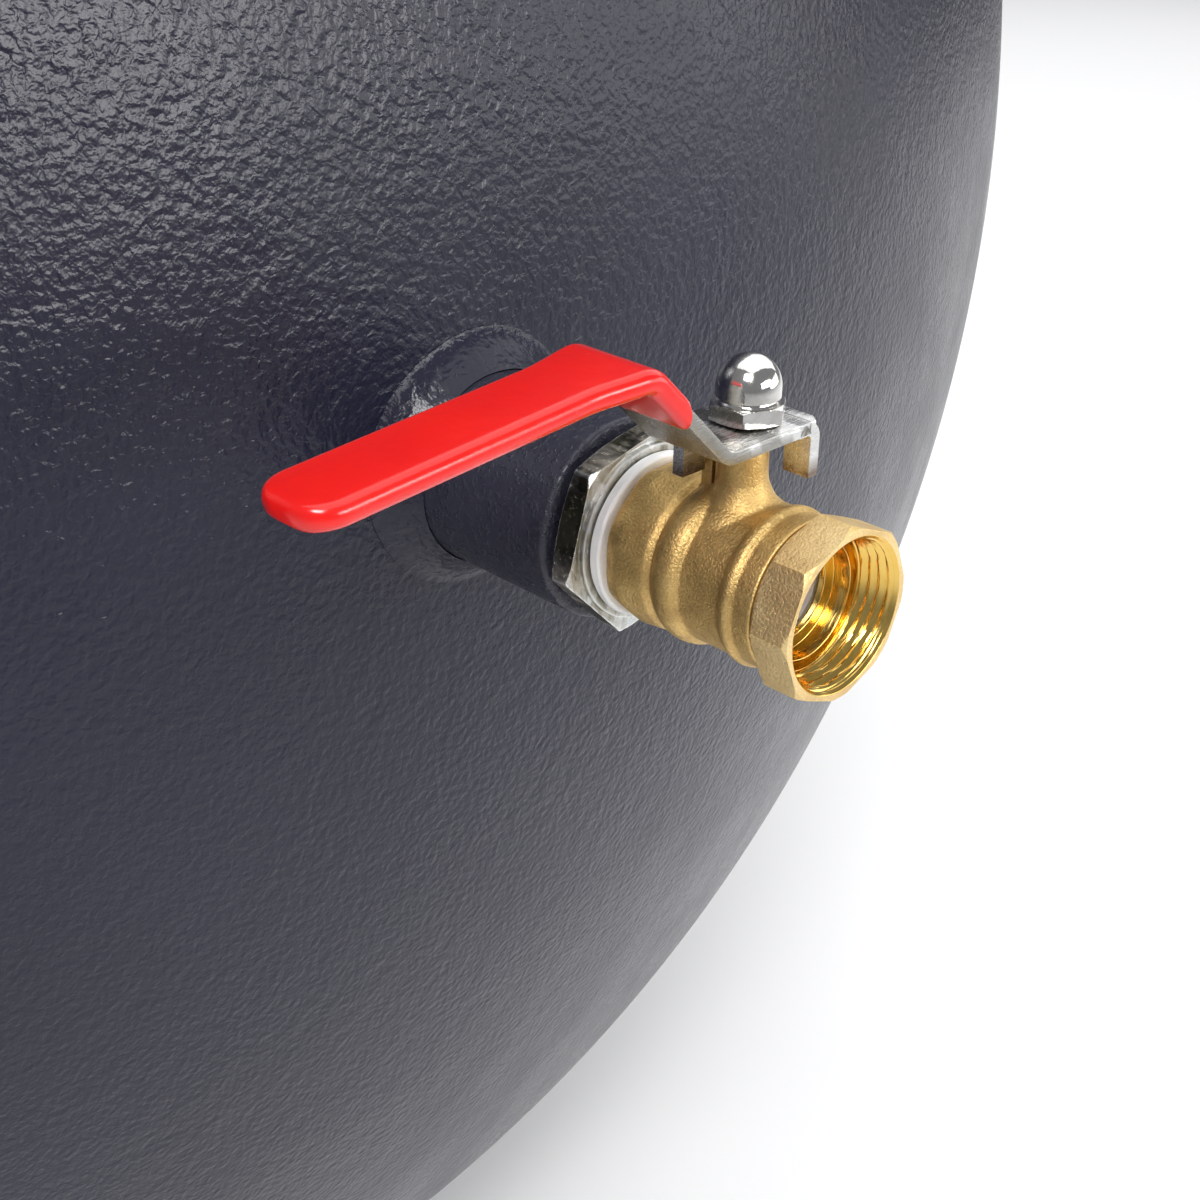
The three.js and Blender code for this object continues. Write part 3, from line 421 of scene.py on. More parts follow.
def machined_brass():
    material, shader = new_material("machined_brass", (0.86, 0.62, 0.22), 0.16, 1.0)
    where = place_node(material, (1, 0.12, 0.12))
    lines = noise_node(material, where, 3000, 2, 0.5)
    rough = ramp(material, lines, [(0.3, 0.1), (0.7, 0.24)])
    link(material, rough, shader.inputs["Roughness"])
    tint = noise_node(material, place_node(material), 90, 3)
    tone = ramp(material, tint, [(0.3, (0.84, 0.53, 0.12)), (0.7, (0.93, 0.66, 0.20))])
    link(material, tone, shader.inputs["Base Color"])
    bump(material, shader, lines, 0.00006, 0.5)
    return material


def zinc_plate(name, clean, dirty, dark, reach):
    """Stained zinc plate; a lower reach gives more stains."""
    material, shader = new_material(name, clean, 0.34, 1.0)
    where = place_node(material)
    dirt = noise_node(material, where, 160, 6, 0.65, 0.8)
    base = ramp(material, dirt, [(0.42, clean), (0.6, dirty)])
    streak = noise_node(material, place_node(material, (0.2, 1, 0.3)), 300, 4, 0.6)
    stains = ramp(material, streak, [(reach - 0.06, 0), (reach + 0.08, 1)])
    stained = mix_colour(material, stains, base, dark)
    worn = edge_wear(material, 0.51, 0.56)
    colour = mix_colour(material, worn, stained, (0.88, 0.89, 0.88))
    link(material, colour, shader.inputs["Base Color"])
    rough = ramp(material, dirt, [(0.35, 0.26), (0.7, 0.52)])
    link(material, rough, shader.inputs["Roughness"])
    pits = ramp(material, noise_node(material, where, 1300, 3, 0.6), [(0.28, 0), (0.4, 1)])
    bump(material, shader, maths(material, "ADD", pits, dirt), 0.0002, 0.6)
    return material


def plated_steel():
    material, shader = new_material("plated_steel", (0.72, 0.72, 0.7), 0.2, 1.0)
    where = place_node(material)
    cloud = noise_node(material, where, 110, 4, 0.6)
    tone = ramp(material, cloud, [(0.35, (0.22, 0.21, 0.18)), (0.65, (0.34, 0.33, 0.31))])
    rust = noise_node(material, where, 240, 6, 0.7)
    edge = edge_wear(material, 0.53, 0.62)
    brown = mix_colour(material, ramp(material, rust, [(0.66, 0), (0.74, 0.8)]), tone, (0.25, 0.15, 0.07))
    bright = mix_colour(material, edge, brown, (0.80, 0.80, 0.79))
    # Painted shade: the lower ends of the tabs, below about 20 mm above the stem, are darkened to dark
    # brown, broken up by the rust noise
    height = node(material, "ShaderNodeSeparateXYZ")
    link(material, where, height.inputs[0])
    low = node(material, "ShaderNodeMapRange")
    low.inputs["From Min"].default_value = STEM.z + 0.0176
    low.inputs["From Max"].default_value = STEM.z + 0.0205
    low.inputs["To Min"].default_value = 0.85
    low.inputs["To Max"].default_value = 0
    link(material, height.outputs["Z"], low.inputs["Value"])
    foot = maths(material, "MULTIPLY", low.outputs["Result"], ramp(material, rust, [(0.3, 0.4), (0.55, 1)]))
    colour = mix_colour(material, foot, bright, (0.16, 0.09, 0.045))
    link(material, colour, shader.inputs["Base Color"])
    lines = noise_node(material, place_node(material, (1, 0.1, 1)), 2400, 3, 0.6)
    rough = ramp(material, lines, [(0.3, 0.2), (0.7, 0.38)])
    link(material, rough, shader.inputs["Roughness"])
    bump(material, shader, lines, 0.00016, 0.6)
    return material


def nickel_plate():
    material, shader = new_material("nickel_plate", (0.8, 0.79, 0.77), 0.09, 1.0)
    where = place_node(material)
    haze = noise_node(material, where, 400, 5, 0.6)
    rough = ramp(material, haze, [(0.4, 0.06), (0.75, 0.2)])
    link(material, rough, shader.inputs["Roughness"])
    tone = ramp(material, haze, [(0.4, (0.82, 0.81, 0.79)), (0.8, (0.66, 0.63, 0.58))])
    link(material, tone, shader.inputs["Base Color"])
    bump(material, shader, noise_node(material, where, 900, 2), 0.00008, 0.4)
    return material


def chrome_ball():
    material, shader = new_material("chrome_ball", (0.55, 0.54, 0.58), 0.14, 1.0)
    where = place_node(material)
    haze = noise_node(material, where, 260, 5, 0.6)
    link(material, ramp(material, haze, [(0.35, 0.1), (0.7, 0.26)]), shader.inputs["Roughness"])
    tone = ramp(material, haze, [(0.35, (0.58, 0.57, 0.62)), (0.75, (0.44, 0.42, 0.43))])
    link(material, tone, shader.inputs["Base Color"])
    return material


def red_vinyl():
    material, shader = new_material("red_vinyl", (0.8, 0.012, 0.01), 0.2)
    where = place_node(material)
    cloud = noise_node(material, where, 60, 3)
    tone = ramp(material, cloud, [(0.3, (0.74, 0.008, 0.007)), (0.7, (0.82, 0.012, 0.006))])
    link(material, tone, shader.inputs["Base Color"])
    smear = noise_node(material, where, 220, 4, 0.6)
    link(material, ramp(material, smear, [(0.4, 0.17), (0.75, 0.3)]), shader.inputs["Roughness"])
    bump(material, shader, noise_node(material, where, 420, 2), 0.0002, 0.35)
    shader.inputs["Coat Weight"].default_value = 0.3
    shader.inputs["Coat Roughness"].default_value = 0.08
    shader.inputs["Subsurface Weight"].default_value = 0.08
    shader.inputs["Subsurface Radius"].default_value = (0.002, 0.0005, 0.0003)
    return material


def white_ptfe():
    material, shader = new_material("white_ptfe", (0.85, 0.85, 0.83), 0.5)
    where = place_node(material)
    cloud = noise_node(material, where, 200, 4, 0.6)
    tone = ramp(material, cloud, [(0.35, (0.93, 0.93, 0.92)), (0.85, (0.80, 0.79, 0.77))])
    link(material, tone, shader.inputs["Base Color"])
    fibres = noise_node(material, place_node(material, (1, 0.2, 0.2)), 1800, 3)
    bump(material, shader, fibres, 0.00015, 0.5)
    return material


MATERIALS = {
    "tank_paint": tank_paint(),
    "cast_brass": cast_brass("cast_brass", (0.42, 0.27, 0.10), (0.74, 0.51, 0.20), (0.86, 0.63, 0.27)),
    # A lighter copy of the cast brass for the cap's outside; its extra lightness is painted light
    "lit_cap_brass": cast_brass("lit_cap_brass", (0.66, 0.46, 0.21), (0.88, 0.67, 0.34), (0.97, 0.78, 0.43)),
    "machined_brass": machined_brass(),
    "zinc_plate": zinc_plate(
        "zinc_plate", (0.66, 0.68, 0.67), (0.50, 0.46, 0.38), (0.30, 0.28, 0.22), 0.55
    ),
    "zinc_stained": zinc_plate(
        "zinc_stained", (0.52, 0.48, 0.40), (0.62, 0.56, 0.47), (0.10, 0.095, 0.065), 0.46
    ),
    "boss_paint": boss_paint(),
    "plated_steel": plated_steel(),
    "nickel_plate": nickel_plate(),
    "chrome_ball": chrome_ball(),
    "red_vinyl": red_vinyl(),
    "white_ptfe": white_ptfe(),
}

# The CAD solids that stay in view take the same materials
for part in frame["record"]["subparts"]:
    cad = frame["nodes"][part["node"]].data
    cad.materials.clear()
    cad.materials.append(MATERIALS[part["material_slot"]])


# ---- Vessel ----

HEAD_HOLE = 18.9
SEAM_PROUD, SEAM_HALF_WIDTH, SEAM_RIPPLES = 1.55, 6.3, 240
OUTLET_RADIUS, OUTLET_WELD_LEG, SOCKET_INSIDE = 18.5, 6.6, 13
TOP_RADIUS, TOP_BORE, DRAIN_RADIUS, DRAIN_BORE = 23, 30.4, 15, 18.6
PORT_HEIGHT, PORT_LENGTH, PORT_WELD_LEG, PORT_HOLE_GAP = 22, 33, 5, 0.2
PLUG_SPIGOT, PLUG_HEAD = 14, 9
# Height that marks a point on the underside of a weld
UNDER_WELD = -99


def head_outline():
    join = 90 - math.degrees(math.asin((TANK_RADIUS - KNUCKLE) / (2 * TANK_RADIUS - KNUCKLE)))

    def side(thickness):
        crown = 2 * TANK_RADIUS - thickness
        edge = 90 - math.degrees(math.asin(HEAD_HOLE / crown))
        crown_arc = arc((0, -CROWN_CENTRE), crown, edge, join, 40)
        knuckle_arc = arc((TANK_RADIUS - KNUCKLE, 0), KNUCKLE - thickness, join, 0, 14)
        return crown_arc + knuckle_arc[1:] + [(TANK_RADIUS - thickness, -HEAD_FLANGE)]

    return side(0) + side(WALL)[::-1]


def bead(angle, count, seed):
    """How far a weld's ripple stands out at an angle, from -1 to 1."""
    lap = (angle / TAU * count) % 1
    wander = noise.noise(Vector((math.cos(angle) * 2, math.sin(angle) * 2, seed)))
    return 1.2 * (0.5 - abs(lap - 0.35) ** 1.3) + 0.8 * wander


def seam_outline():
    cap = arc((0, 0), 1, 0, 180, 12)
    outline = [(TANK_RADIUS + FIT + SEAM_PROUD * up, SEAM_HALF_WIDTH * across) for across, up in cap]
    return outline + [(TANK_RADIUS - 3, -1.7), (TANK_RADIUS - 3, 1.7)]


def seam_warp(r, h, a):
    """Ripples along the seam, where it stands proud."""
    if r < TANK_RADIUS + FIT:
        return r, h
    lift = (r - TANK_RADIUS - FIT) / SEAM_PROUD
    return r + 0.35 * bead(a, SEAM_RIPPLES, 3) * lift, h * (1 + 0.05 * bead(a, SEAM_RIPPLES, 7))


def port_place(turn, height):
    """A frame over the shell, with Z out of it."""
    return TANK @ turn @ Matrix.Translation(Vector((0, 0, height)))


def end_place(turn, x):
    """A frame on the tank's axis, with Z out of that end."""
    return TANK @ turn @ ALONG_X @ Matrix.Translation(Vector((0, 0, x)))


def socket_outline(outer, inner, length):
    outline = [
        (inner, -length),
        (outer, -length),
        (outer, 0),
        (inner + 1.2, 0),
        (inner, -1.2),
    ]
    return finer(rounded(outline, 1.1, 5), 2.5)


def socket_warp(seed):
    def warp(r, h, a):
        """Thick paint and burrs round the rim."""
        rim = max(0, 1 + h / 2.2)
        here = Vector((math.cos(a) * 4, math.sin(a) * 4, seed + h * 0.4))
        chips = noise.noise(here * 2.4) + 0.5 * noise.noise(here * 6)
        return r + 0.07 * rim * chips, h + 0.1 * rim * noise.noise(here * 3 + Vector((5, 5, 5)))

    return warp


def weld_ring(inner, leg, surface, count, seed, steps=12):
    """A rippled fillet weld round a socket; surface(r, angle) is the height of the plate."""
    outline = arc((0, 0), 1, 90, 0, steps)

    def warp(r, h, a):
        swing = 1 + 0.02 * bead(a, count, seed)
        swing += 0.12 * noise.noise(Vector((math.cos(a), math.sin(a), seed)) * 1.3)
        if h == UNDER_WELD:
            reach = inner + leg * swing if r > inner + 0.1 else r
            return reach, surface(reach, a) - 0.2
        across = min(1, max(0, r))
        out = inner + r * leg * swing
        up = leg * swing * (1 - across) ** 1.7
        ripple = 0.05 * bead(a, count, seed) * math.sin(math.pi * across)
        return out, surface(out, a) + up + ripple - 0.12 * across**6

    verts = []
    segments = count * 8
    for j in range(segments):
        a = TAU * j / segments
        for r, h in outline + [(inner + leg, UNDER_WELD), (inner, UNDER_WELD)]:
            x, z = warp(r, h, a)
            verts.append((x * math.cos(a), x * math.sin(a), z))
    return verts, grid_faces(segments, len(outline) + 2, True)


def crown_surface(r, a):
    return math.sqrt((2 * TANK_RADIUS + 0.25) ** 2 - r * r) - 2 * TANK_RADIUS


def shell_surface(r, a):
    return math.sqrt((TANK_RADIUS + 0.25) ** 2 - (r * math.sin(a)) ** 2) - TANK_RADIUS


def hex_plug(name, bore, place):
    """A threaded plug with a chamfered hexagon head."""
    flats = bore * 1.25
    corner = flats / 2 / math.cos(math.pi / 6)
    top = FIT + PLUG_HEAD
    outline = [
        (0, -PLUG_SPIGOT),
        (bore / 2 - FIT, -PLUG_SPIGOT),
        (bore / 2 - FIT, FIT),
        (flats / 2 - 0.2, FIT),
        (corner, FIT + 1.1),
        (corner, top - 1.3),
        (flats / 2 - 0.2, top),
        (0, top),
    ]

    def warp(r, h, a):
        return (min(r, prism_radius(a, 6, flats, 0, 0.5)), h) if h > FIT else (r, h)

    outline = finer(outline, 0.6)
    turned_piece(f"{name}_hex", outline, 180, "zinc_plate", name, place, warp=warp, angle=30)


def build_boss(port, outer, inner, length, segments, seed, rim):
    """A threaded socket that is open at its rim."""
    turned_piece(
        f"{port}_boss",
        socket_outline(outer, inner, length),
        segments,
        "tank_paint",
        f"{port}_socket",
        rim,
        warp=socket_warp(seed),
        material="boss_paint",
    )


def build_boss_weld(port, ring, foot):
    obj = mesh_object("ring", ring)
    finish_piece(obj, f"{port}_boss_weld", "tank", "tank_paint", [f"{port}_socket_weld"], foot, 70)


def build_end(end, turn):
    """A head, its seam and the socket at its middle."""
    port, side = ("outlet", 1) if end == "front" else ("rear", 0)
    tangent = end_place(turn, TANGENT_X)
    turned_piece(f"{end}_head_skin", head_outline(), 256, "tank_paint", f"{end}_head", tangent)
    turned_piece(
        f"{end}_seam_bead",
        seam_outline(),
        SEAM_RIPPLES * 4,
        "tank_paint",
        f"{end}_seam_weld",
        end_place(turn, SHELL_HALF + SEAM_ROOT / 2),
        warp=seam_warp,
        angle=60,
    )
    rim_x = abs(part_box(f"{port}_socket")[side].x - SHELL_MIDDLE.x) / MM
    rim = end_place(turn, rim_x)
    build_boss(port, OUTLET_RADIUS, THREAD_RADIUS, rim_x - APEX_X + SOCKET_INSIDE, 200, 2, rim)
    ring = weld_ring(OUTLET_RADIUS + FIT, OUTLET_WELD_LEG, crown_surface, 38, 5)
    build_boss_weld(port, ring, end_place(turn, APEX_X))
    if end == "rear":
        hex_plug("rear_plug", 2 * THREAD_RADIUS, rim)


def build_shell():
    outer, inner = TANK_RADIUS, TANK_RADIUS - WALL
    wall = [(outer, -SHELL_HALF), (outer, SHELL_HALF), (inner, SHELL_HALF), (inner, -SHELL_HALF)]
    shell = mesh_object("shell_skin", moved(lathe(finer(wall, 60), 256), ALONG_X))
    for radius, reach in ((TOP_RADIUS, 320), (DRAIN_RADIUS, -320)):
        hole = radius + PORT_HOLE_GAP
        combine(shell, "DIFFERENCE", lathe([(0, 0), (hole, 0), (hole, reach), (0, reach)], 96))
    finish_piece(shell, "shell_skin", "tank", "tank_paint", ["shell"], TANK, 30)


def build_vessel():
    build_end("front", Matrix.Identity(4))
    build_end("rear", HALF_TURN)
    build_shell()
    for name, outer, bore, turn in (
        ("top", TOP_RADIUS, TOP_BORE, Matrix.Identity(4)),
        ("drain", DRAIN_RADIUS, DRAIN_BORE, Matrix.Rotation(math.pi, 4, "X")),
    ):
        rim = port_place(turn, TANK_RADIUS + PORT_HEIGHT)
        build_boss(name, outer, bore / 2, PORT_LENGTH, 144, 8, rim)
        ring = weld_ring(outer + FIT, PORT_WELD_LEG, shell_surface, 34, 9, 8)
        build_boss_weld(name, ring, port_place(turn, TANK_RADIUS))
        hex_plug(f"{name}_plug", bore, rim)


# ---- Saddles ----

BASE_THICKNESS, BASE_HALF_WIDTH, BASE_CORNER = 8, 45, 8
BOLT_RADIUS, BOLT_X, BOLT_FROM_END = 7, 24, 30
WEB_HALF, SADDLE_WELD_LEG = 4, 4.8
GUSSET_Y, GUSSET_HALF, GUSSET_REACH, GUSSET_HEIGHT, GUSSET_TOE = 130, 3, 26, 60, 4
FOOT = BASE_THICKNESS + FIT
WEB_FACE = WEB_HALF + FIT


def across_x(outline, x0, x1):
    """A plate across X on an outline of [y, z] points."""
    rings = [[(x, y, z) for y, z in outline] for x in (x0, x1)]
    return loft(rings)


def saddle_base(end, place):
    low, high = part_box(f"{end}_saddle_base")
    half = (high.y - low.y) / 2 / MM
    plan = []
    for sx, sy, start in CORNERS:
        middle = (sx * (BASE_HALF_WIDTH - BASE_CORNER), sy * (half - BASE_CORNER))
        plan += arc(middle, BASE_CORNER, start, start + 90, 6)
    base = mesh_object("base", slab(plan, 0, BASE_THICKNESS))
    drill = lathe([(0, -2), (BOLT_RADIUS, -2), (BOLT_RADIUS, 10), (0, 10)], 48)
    for sx in (1, -1):
        for sy in (1, -1):
            spot = Matrix.Translation(Vector((BOLT_X * sx, (half - BOLT_FROM_END) * sy, 0)))
            combine(base, "DIFFERENCE", moved(drill, spot))
    bevelled(base, 0.7, 3, 50)
    finish_piece(base, f"{end}_saddle_base_plate", "tank", "tank_paint", [f"{end}_saddle_base"], place)


def saddle_weld(end, side, inner, outer, place):
    """A rippled fillet between the web and the shell, along the cradle."""
    rings = []
    last = len(inner) - 1
    for k in range(4 * last + 1):
        i, part = divmod(k, 4)
        on = min(i + 1, last)
        a = Vector(inner[i]).lerp(Vector(inner[on]), part / 4)
        b = Vector(outer[i]).lerp(Vector(outer[on]), part / 4)
        ripple = 1 + 0.07 * math.sin(k * 1.9) + 0.05 * noise.noise(Vector((k * 0.13, 0, side)))
        out = (b - a) * ripple
        ring = [(WEB_FACE, *a), (WEB_FACE, *(a + out))]
        for across, up in arc((0, 0), 1, 75, 15, 3):
            ring.append((WEB_FACE + SADDLE_WELD_LEG * across * ripple, *(a + out * up)))
        ring.append((WEB_FACE + SADDLE_WELD_LEG * ripple, *a))
        rings.append(ring)
    weld = mesh_object("weld", loft(rings))
    finish_piece(weld, f"{end}_saddle_bead", "tank", "tank_paint", [f"{end}_saddle_weld"], place, 80)


def saddle_gusset(end, hand, y, place):
    outline = [
        (WEB_FACE, FOOT),
        (WEB_FACE + GUSSET_REACH, FOOT),
        (WEB_FACE + GUSSET_REACH, FOOT + GUSSET_TOE),
        (WEB_FACE + GUSSET_REACH / 3, FOOT + GUSSET_HEIGHT),
        (WEB_FACE, FOOT + GUSSET_HEIGHT),
    ]
    rings = [[(x, across, z) for x, z in outline] for across in (y - GUSSET_HALF, y + GUSSET_HALF)]
    gusset = bevelled(mesh_object("gusset", loft(rings)), 0.6, 3, 30)
    nodes = [f"{end}_saddle_{hand}_gusset"]
    finish_piece(gusset, f"{end}_saddle_{hand}_rib", "tank", "tank_paint", nodes, place)


def build_saddle(end, side):
    low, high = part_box(f"{end}_saddle_web")
    middle = Matrix.Translation(Vector(((low.x + high.x) / 2, 0, 0))) @ Matrix.Scale(MM, 4)
    place = middle @ (HALF_TURN if side < 0 else Matrix.Identity(4))
    half = (high.y - low.y) / 2 / MM
    axis = STEM.z / MM
    reach = math.degrees(math.asin(half / (TANK_RADIUS + FIT)))

    def cradle(gap):
        return arc((0, axis), TANK_RADIUS + gap, -90 - reach, -90 + reach, 96)

    outline = cradle(FIT) + [(half, FOOT), (-half, FOOT)]
    web = mesh_object("web", across_x(outline, -WEB_HALF, WEB_HALF))
    bevelled(web, 0.6, 2, 60)
    finish_piece(web, f"{end}_saddle_web_plate", "tank", "tank_paint", [f"{end}_saddle_web"], place)
    saddle_base(end, place)
    saddle_weld(end, side, cradle(FIT), cradle(FIT + SADDLE_WELD_LEG), place)
    saddle_gusset(end, "left", GUSSET_Y, place)
    saddle_gusset(end, "right", -GUSSET_Y, place)


def build_saddles():
    build_saddle("front", 1)
    build_saddle("rear", -1)


# ---- Nipple and seal ----

HEX_BACK, HEX_FRONT, COLLAR_FRONT = -26.2, -21.2, -20.1
BODY_REAR, CAP_SEAM, CAP_FACE = -17.5, 13.9, 22.5
NIPPLE_REAR, NIPPLE_FRONT, NIPPLE_BORE_RADIUS = -39.2, -11.4, 8.5
HEX_FLATS, HEX_TURN, COLLAR_RADIUS = 33, math.radians(44), 15.8
BARREL_RADIUS = 13.1


def thread_wave(h, a):
    """A pipe thread's V, from 0 at its root to 1 at its crest."""
    lap = ((h - PITCH * a / TAU) / PITCH) % 1
    return 1 - abs(2 * lap - 1)


def build_nipple():
    corner = HEX_FLATS / 2 / math.cos(math.pi / 6)
    spigot = THREAD_RADIUS - FIT
    outline = [
        (spigot, NIPPLE_REAR),
        (spigot, HEX_BACK),
        (HEX_FLATS / 2 - 0.6, HEX_BACK),
        (corner, HEX_BACK + 1.2),
        (corner, HEX_FRONT - 0.5),
        (HEX_FLATS / 2 + 1.4, HEX_FRONT),
        (COLLAR_RADIUS, HEX_FRONT),
        (COLLAR_RADIUS, COLLAR_FRONT),
        (spigot, COLLAR_FRONT),
        (spigot, NIPPLE_FRONT),
        (NIPPLE_BORE_RADIUS, NIPPLE_FRONT),
        (NIPPLE_BORE_RADIUS, NIPPLE_REAR),
    ]
    outline = finer(rounded(outline, 0.35, 3), 0.45)

    def warp(r, h, a):
        """A dented hexagon, a thread behind it and a slightly uneven collar."""
        if HEX_BACK - 0.01 < h < HEX_FRONT + 0.05 and r > 14:
            here = Vector((math.cos(a) * 5, math.sin(a) * 5, h * 0.3))
            dent = 0.08 * noise.noise(here * 2)
            return min(r, prism_radius(a, 6, HEX_FLATS, HEX_TURN, 0.7) + dent), h
        if 11 < r < 12 and h < HEX_BACK - 0.3:
            return r - 0.55 + 0.5 * thread_wave(h, a), h
        if r > 15 and h >= HEX_FRONT:
            here = Vector((math.cos(a) * 3, math.sin(a) * 3, 1))
            return r + 0.1 * noise.noise(here), h
        return r, h

    nipple = mesh_object("nipple", lathe(outline, 288, warp))
    nipple.data.materials.append(MATERIALS["zinc_plate"])
    nipple.data.materials.append(MATERIALS["zinc_stained"])
    for face in nipple.data.polygons:
        if abs(face.normal.z) < 0.5 and math.hypot(face.center.x, face.center.y) > 16.2:
            face.material_index = 1
    finish_piece(nipple, "nipple_hex", "tank", "zinc_plate", ["hex_nipple"], VALVE @ ALONG_X, 28)


def build_seal():
    """The white ring between the nipple's collar and the body."""
    outline = [(12.15, -19.8), (14.68, -19.8), (14.68, -18.2), (14.3, -17.82), (12.15, -17.8)]
    outline = finer(rounded(outline, 0.3, 4), 0.3)

    def warp(r, h, a):
        here = Vector((math.cos(a) * 2.2, math.sin(a) * 2.2, h * 0.5))
        outer = max(0, (r - 12.5) / 2)
        out = 0.13 * outer * noise.noise(here * 1.7)
        along = 0.06 * noise.noise(here * 3 + Vector((3, 1, 2))) * outer
        return r + out, h + along

    place = VALVE @ ALONG_X
    turned_piece("seal_ring", outline, 220, "white_ptfe", "ptfe_seal_ring", place, warp=warp, angle=50)


# ---- Ball valve ----


def ridge(x, width, height):
    """Points of a low rounded ring on the barrel, from its rear to its front."""
    points = []
    for degrees in range(0, 181, 15):
        a = math.radians(degrees)
        points.append((BARREL_RADIUS + height * math.sin(a), x - width / 2 * math.cos(a)))
    return points


def build_body():
    wrench_end = -8.5
    barrel = [(0, BODY_REAR), (13.0, BODY_REAR), (14.2, BODY_REAR + 0.7), (14.6, -14), (14.0, wrench_end)]
    barrel += ridge(-4.3, 5.4, 1.35) + ridge(8.5, 2.4, 0.7)
    barrel += [(BARREL_RADIUS, 13.6), (0, 13.6)]
    barrel = finer(barrel, 0.8)

    def warp(r, h, a):
        """Eight wrench flats at the rear that fade out towards the front."""
        if h >= wrench_end or r <= 12:
            return r, h
        flats = 28.2 - 1.9 * max(0, 1 - (h - BODY_REAR) / 2.5)
        side = prism_radius(a, 8, flats, math.pi / 8, 0.8)
        fade = min(1, max(0, (h - BODY_REAR - 2) / 6))
        return min(r, side + max(0, r - side) * fade), h

    body = mesh_object("body", moved(lathe(barrel, 160, warp), ALONG_X))
    neck = [(0, 4), (8.6, 4), (8.2, 10.4), (6.9, 11.8), (5.7, 12.9), (4.9, 14.3)]
    neck += [(4.1, 16.2), (3.9, 18), (3.85, 23.4), (0, 23.4)]
    lug = [(-7.3, -2.2), (-2, -2.3), (-2, 2.3), (-7.3, 2.2)]
    web = [(2.5, -2.6), (9.2, -1.5), (9.2, 1.5), (2.5, 2.6)]
    lug_shape = loft([[(x, y, 6) for x, y in lug], [(x, y * 0.9, 20) for x, y in lug]])
    web_shape = loft([[(x, y, 6) for x, y in web], [(min(x, 3.4), y * 0.7, 16.5) for x, y in web]])
    for shape in (lathe(neck, 96), lug_shape, web_shape):
        combine(body, "UNION", shape)
    cast(body, 0.26, 5)

    bore = [(0, -18.5), (THREAD_RADIUS, -18.5), (THREAD_RADIUS, -11.2), (7.6, -11.2), (7.6, -10.4)]
    bore += [(10.9, -10.4), (10.9, -3.97), (11.6, -3.97), (11.6, 15), (0, 15)]
    combine(body, "DIFFERENCE", moved(lathe(bore, 120), ALONG_X))
    passage = [(0, 0), (3.7, 0), (3.7, 14.1), (2.5, 14.1), (2.5, 19.0), (3.4, 19.0), (3.4, 24.5), (0, 24.5)]
    combine(body, "DIFFERENCE", lathe(passage, 64))
    slit = block((-4.9, -3.2, 14.6), (-4.15, 0.2, 20.6))
    combine(body, "DIFFERENCE", slit)
    finish_piece(body, "valve_barrel", "tank", "cast_brass", ["valve_body"], VALVE, 50)


def build_cap():
    flats = 28.3
    corner = flats / 2 / math.cos(math.pi / 8)
    back, thread_start = 14.9, 15.3
    outline = [
        (11.3, 10.7),
        (11.3, CAP_SEAM),
        (BARREL_RADIUS, CAP_SEAM),
        (BARREL_RADIUS, back),
        (flats / 2 - 0.55, back),
        (corner, back + 0.75),
        (corner, CAP_FACE - 0.75),
        (corner - 0.75, CAP_FACE),
        (THREAD_RADIUS + 1.2, CAP_FACE),
        (THREAD_RADIUS + 0.1, CAP_FACE - 1.2),
        (THREAD_RADIUS, thread_start),
        (10, thread_start),
        (10, 12),
        (7.6, 12),
        (7.6, 10.7),
    ]
    outline = finer(rounded(outline, 0.22, 3), 0.17)

    def warp(r, h, a):
        if h > back - 0.01 and r > 13.4:
            return min(r, prism_radius(a, 8, flats, 0, 0.55)), h
        if THREAD_RADIUS - 0.02 < r < THREAD_RADIUS + 0.6 and thread_start + 0.1 < h < CAP_FACE - 0.3:
            fade = min(1, (h - thread_start) / 0.8, max(0, CAP_FACE - 0.3 - h) / 0.8)
            return r + 0.85 * fade * (1 - thread_wave(h, a)), h
        return r, h

    cap = mesh_object("cap", lathe(outline, 256, warp))
    # The cap's outside takes the lighter brass copy, which is painted light; its thread and bore take
    # machined brass
    cap.data.materials.append(MATERIALS["lit_cap_brass"])
    cap.data.materials.append(MATERIALS["machined_brass"])
    for face in cap.data.polygons:
        centre = face.center
        out = math.hypot(centre.x, centre.y)
        if out < THREAD_RADIUS + 1.3 and (centre.z > thread_start - 0.1 or out < 11.2):
            face.material_index = 1
    finish_piece(cap, "valve_outlet_end", "tank", "cast_brass", ["valve_end_cap"], VALVE @ ALONG_X, 34)


def build_ball():
    radius, bore_radius = 11, 7
    outline = [(0, -radius)] + arc((0, 0), radius, -88, 88, 60) + [(0, radius)]
    ball = mesh_object("ball", lathe(outline, 96))
    bore = lathe([(0, -20), (bore_radius, -20), (bore_radius, 20), (0, 20)], 72)
    combine(ball, "DIFFERENCE", moved(bore, Matrix.Rotation(math.pi / 2, 4, "X")))
    combine(ball, "DIFFERENCE", block((-20, -2, 8.8), (20, 2, 20)))
    bevelled(ball, 0.25, 3, 35)
    finish_piece(ball, "ball_polished", "valve_lever", "chrome_ball", ["ball"], VALVE, 30)


# ---- Lever ----

PLATE = 2.2
UNDERSIDE = 24.3
LEVER_HALF = 8.0
LEVER_BACK = 8.5
FIRST_BEND, SECOND_BEND, TIP = 13.0, 29.7, 86.2
RISE, DROOP, BEND_RADIUS = 16.6, 5.0, 4.0
NARROW_HALF, TAPER = 6.5, 12
TAB_BEND, TAB_DEPTH, TAB_SPAN = 0.9, 7.4, (-8.0, -2.8)
GRIP_START, GRIP_WALL, GRIP_GAP = 22.5, 0.8, 0.12


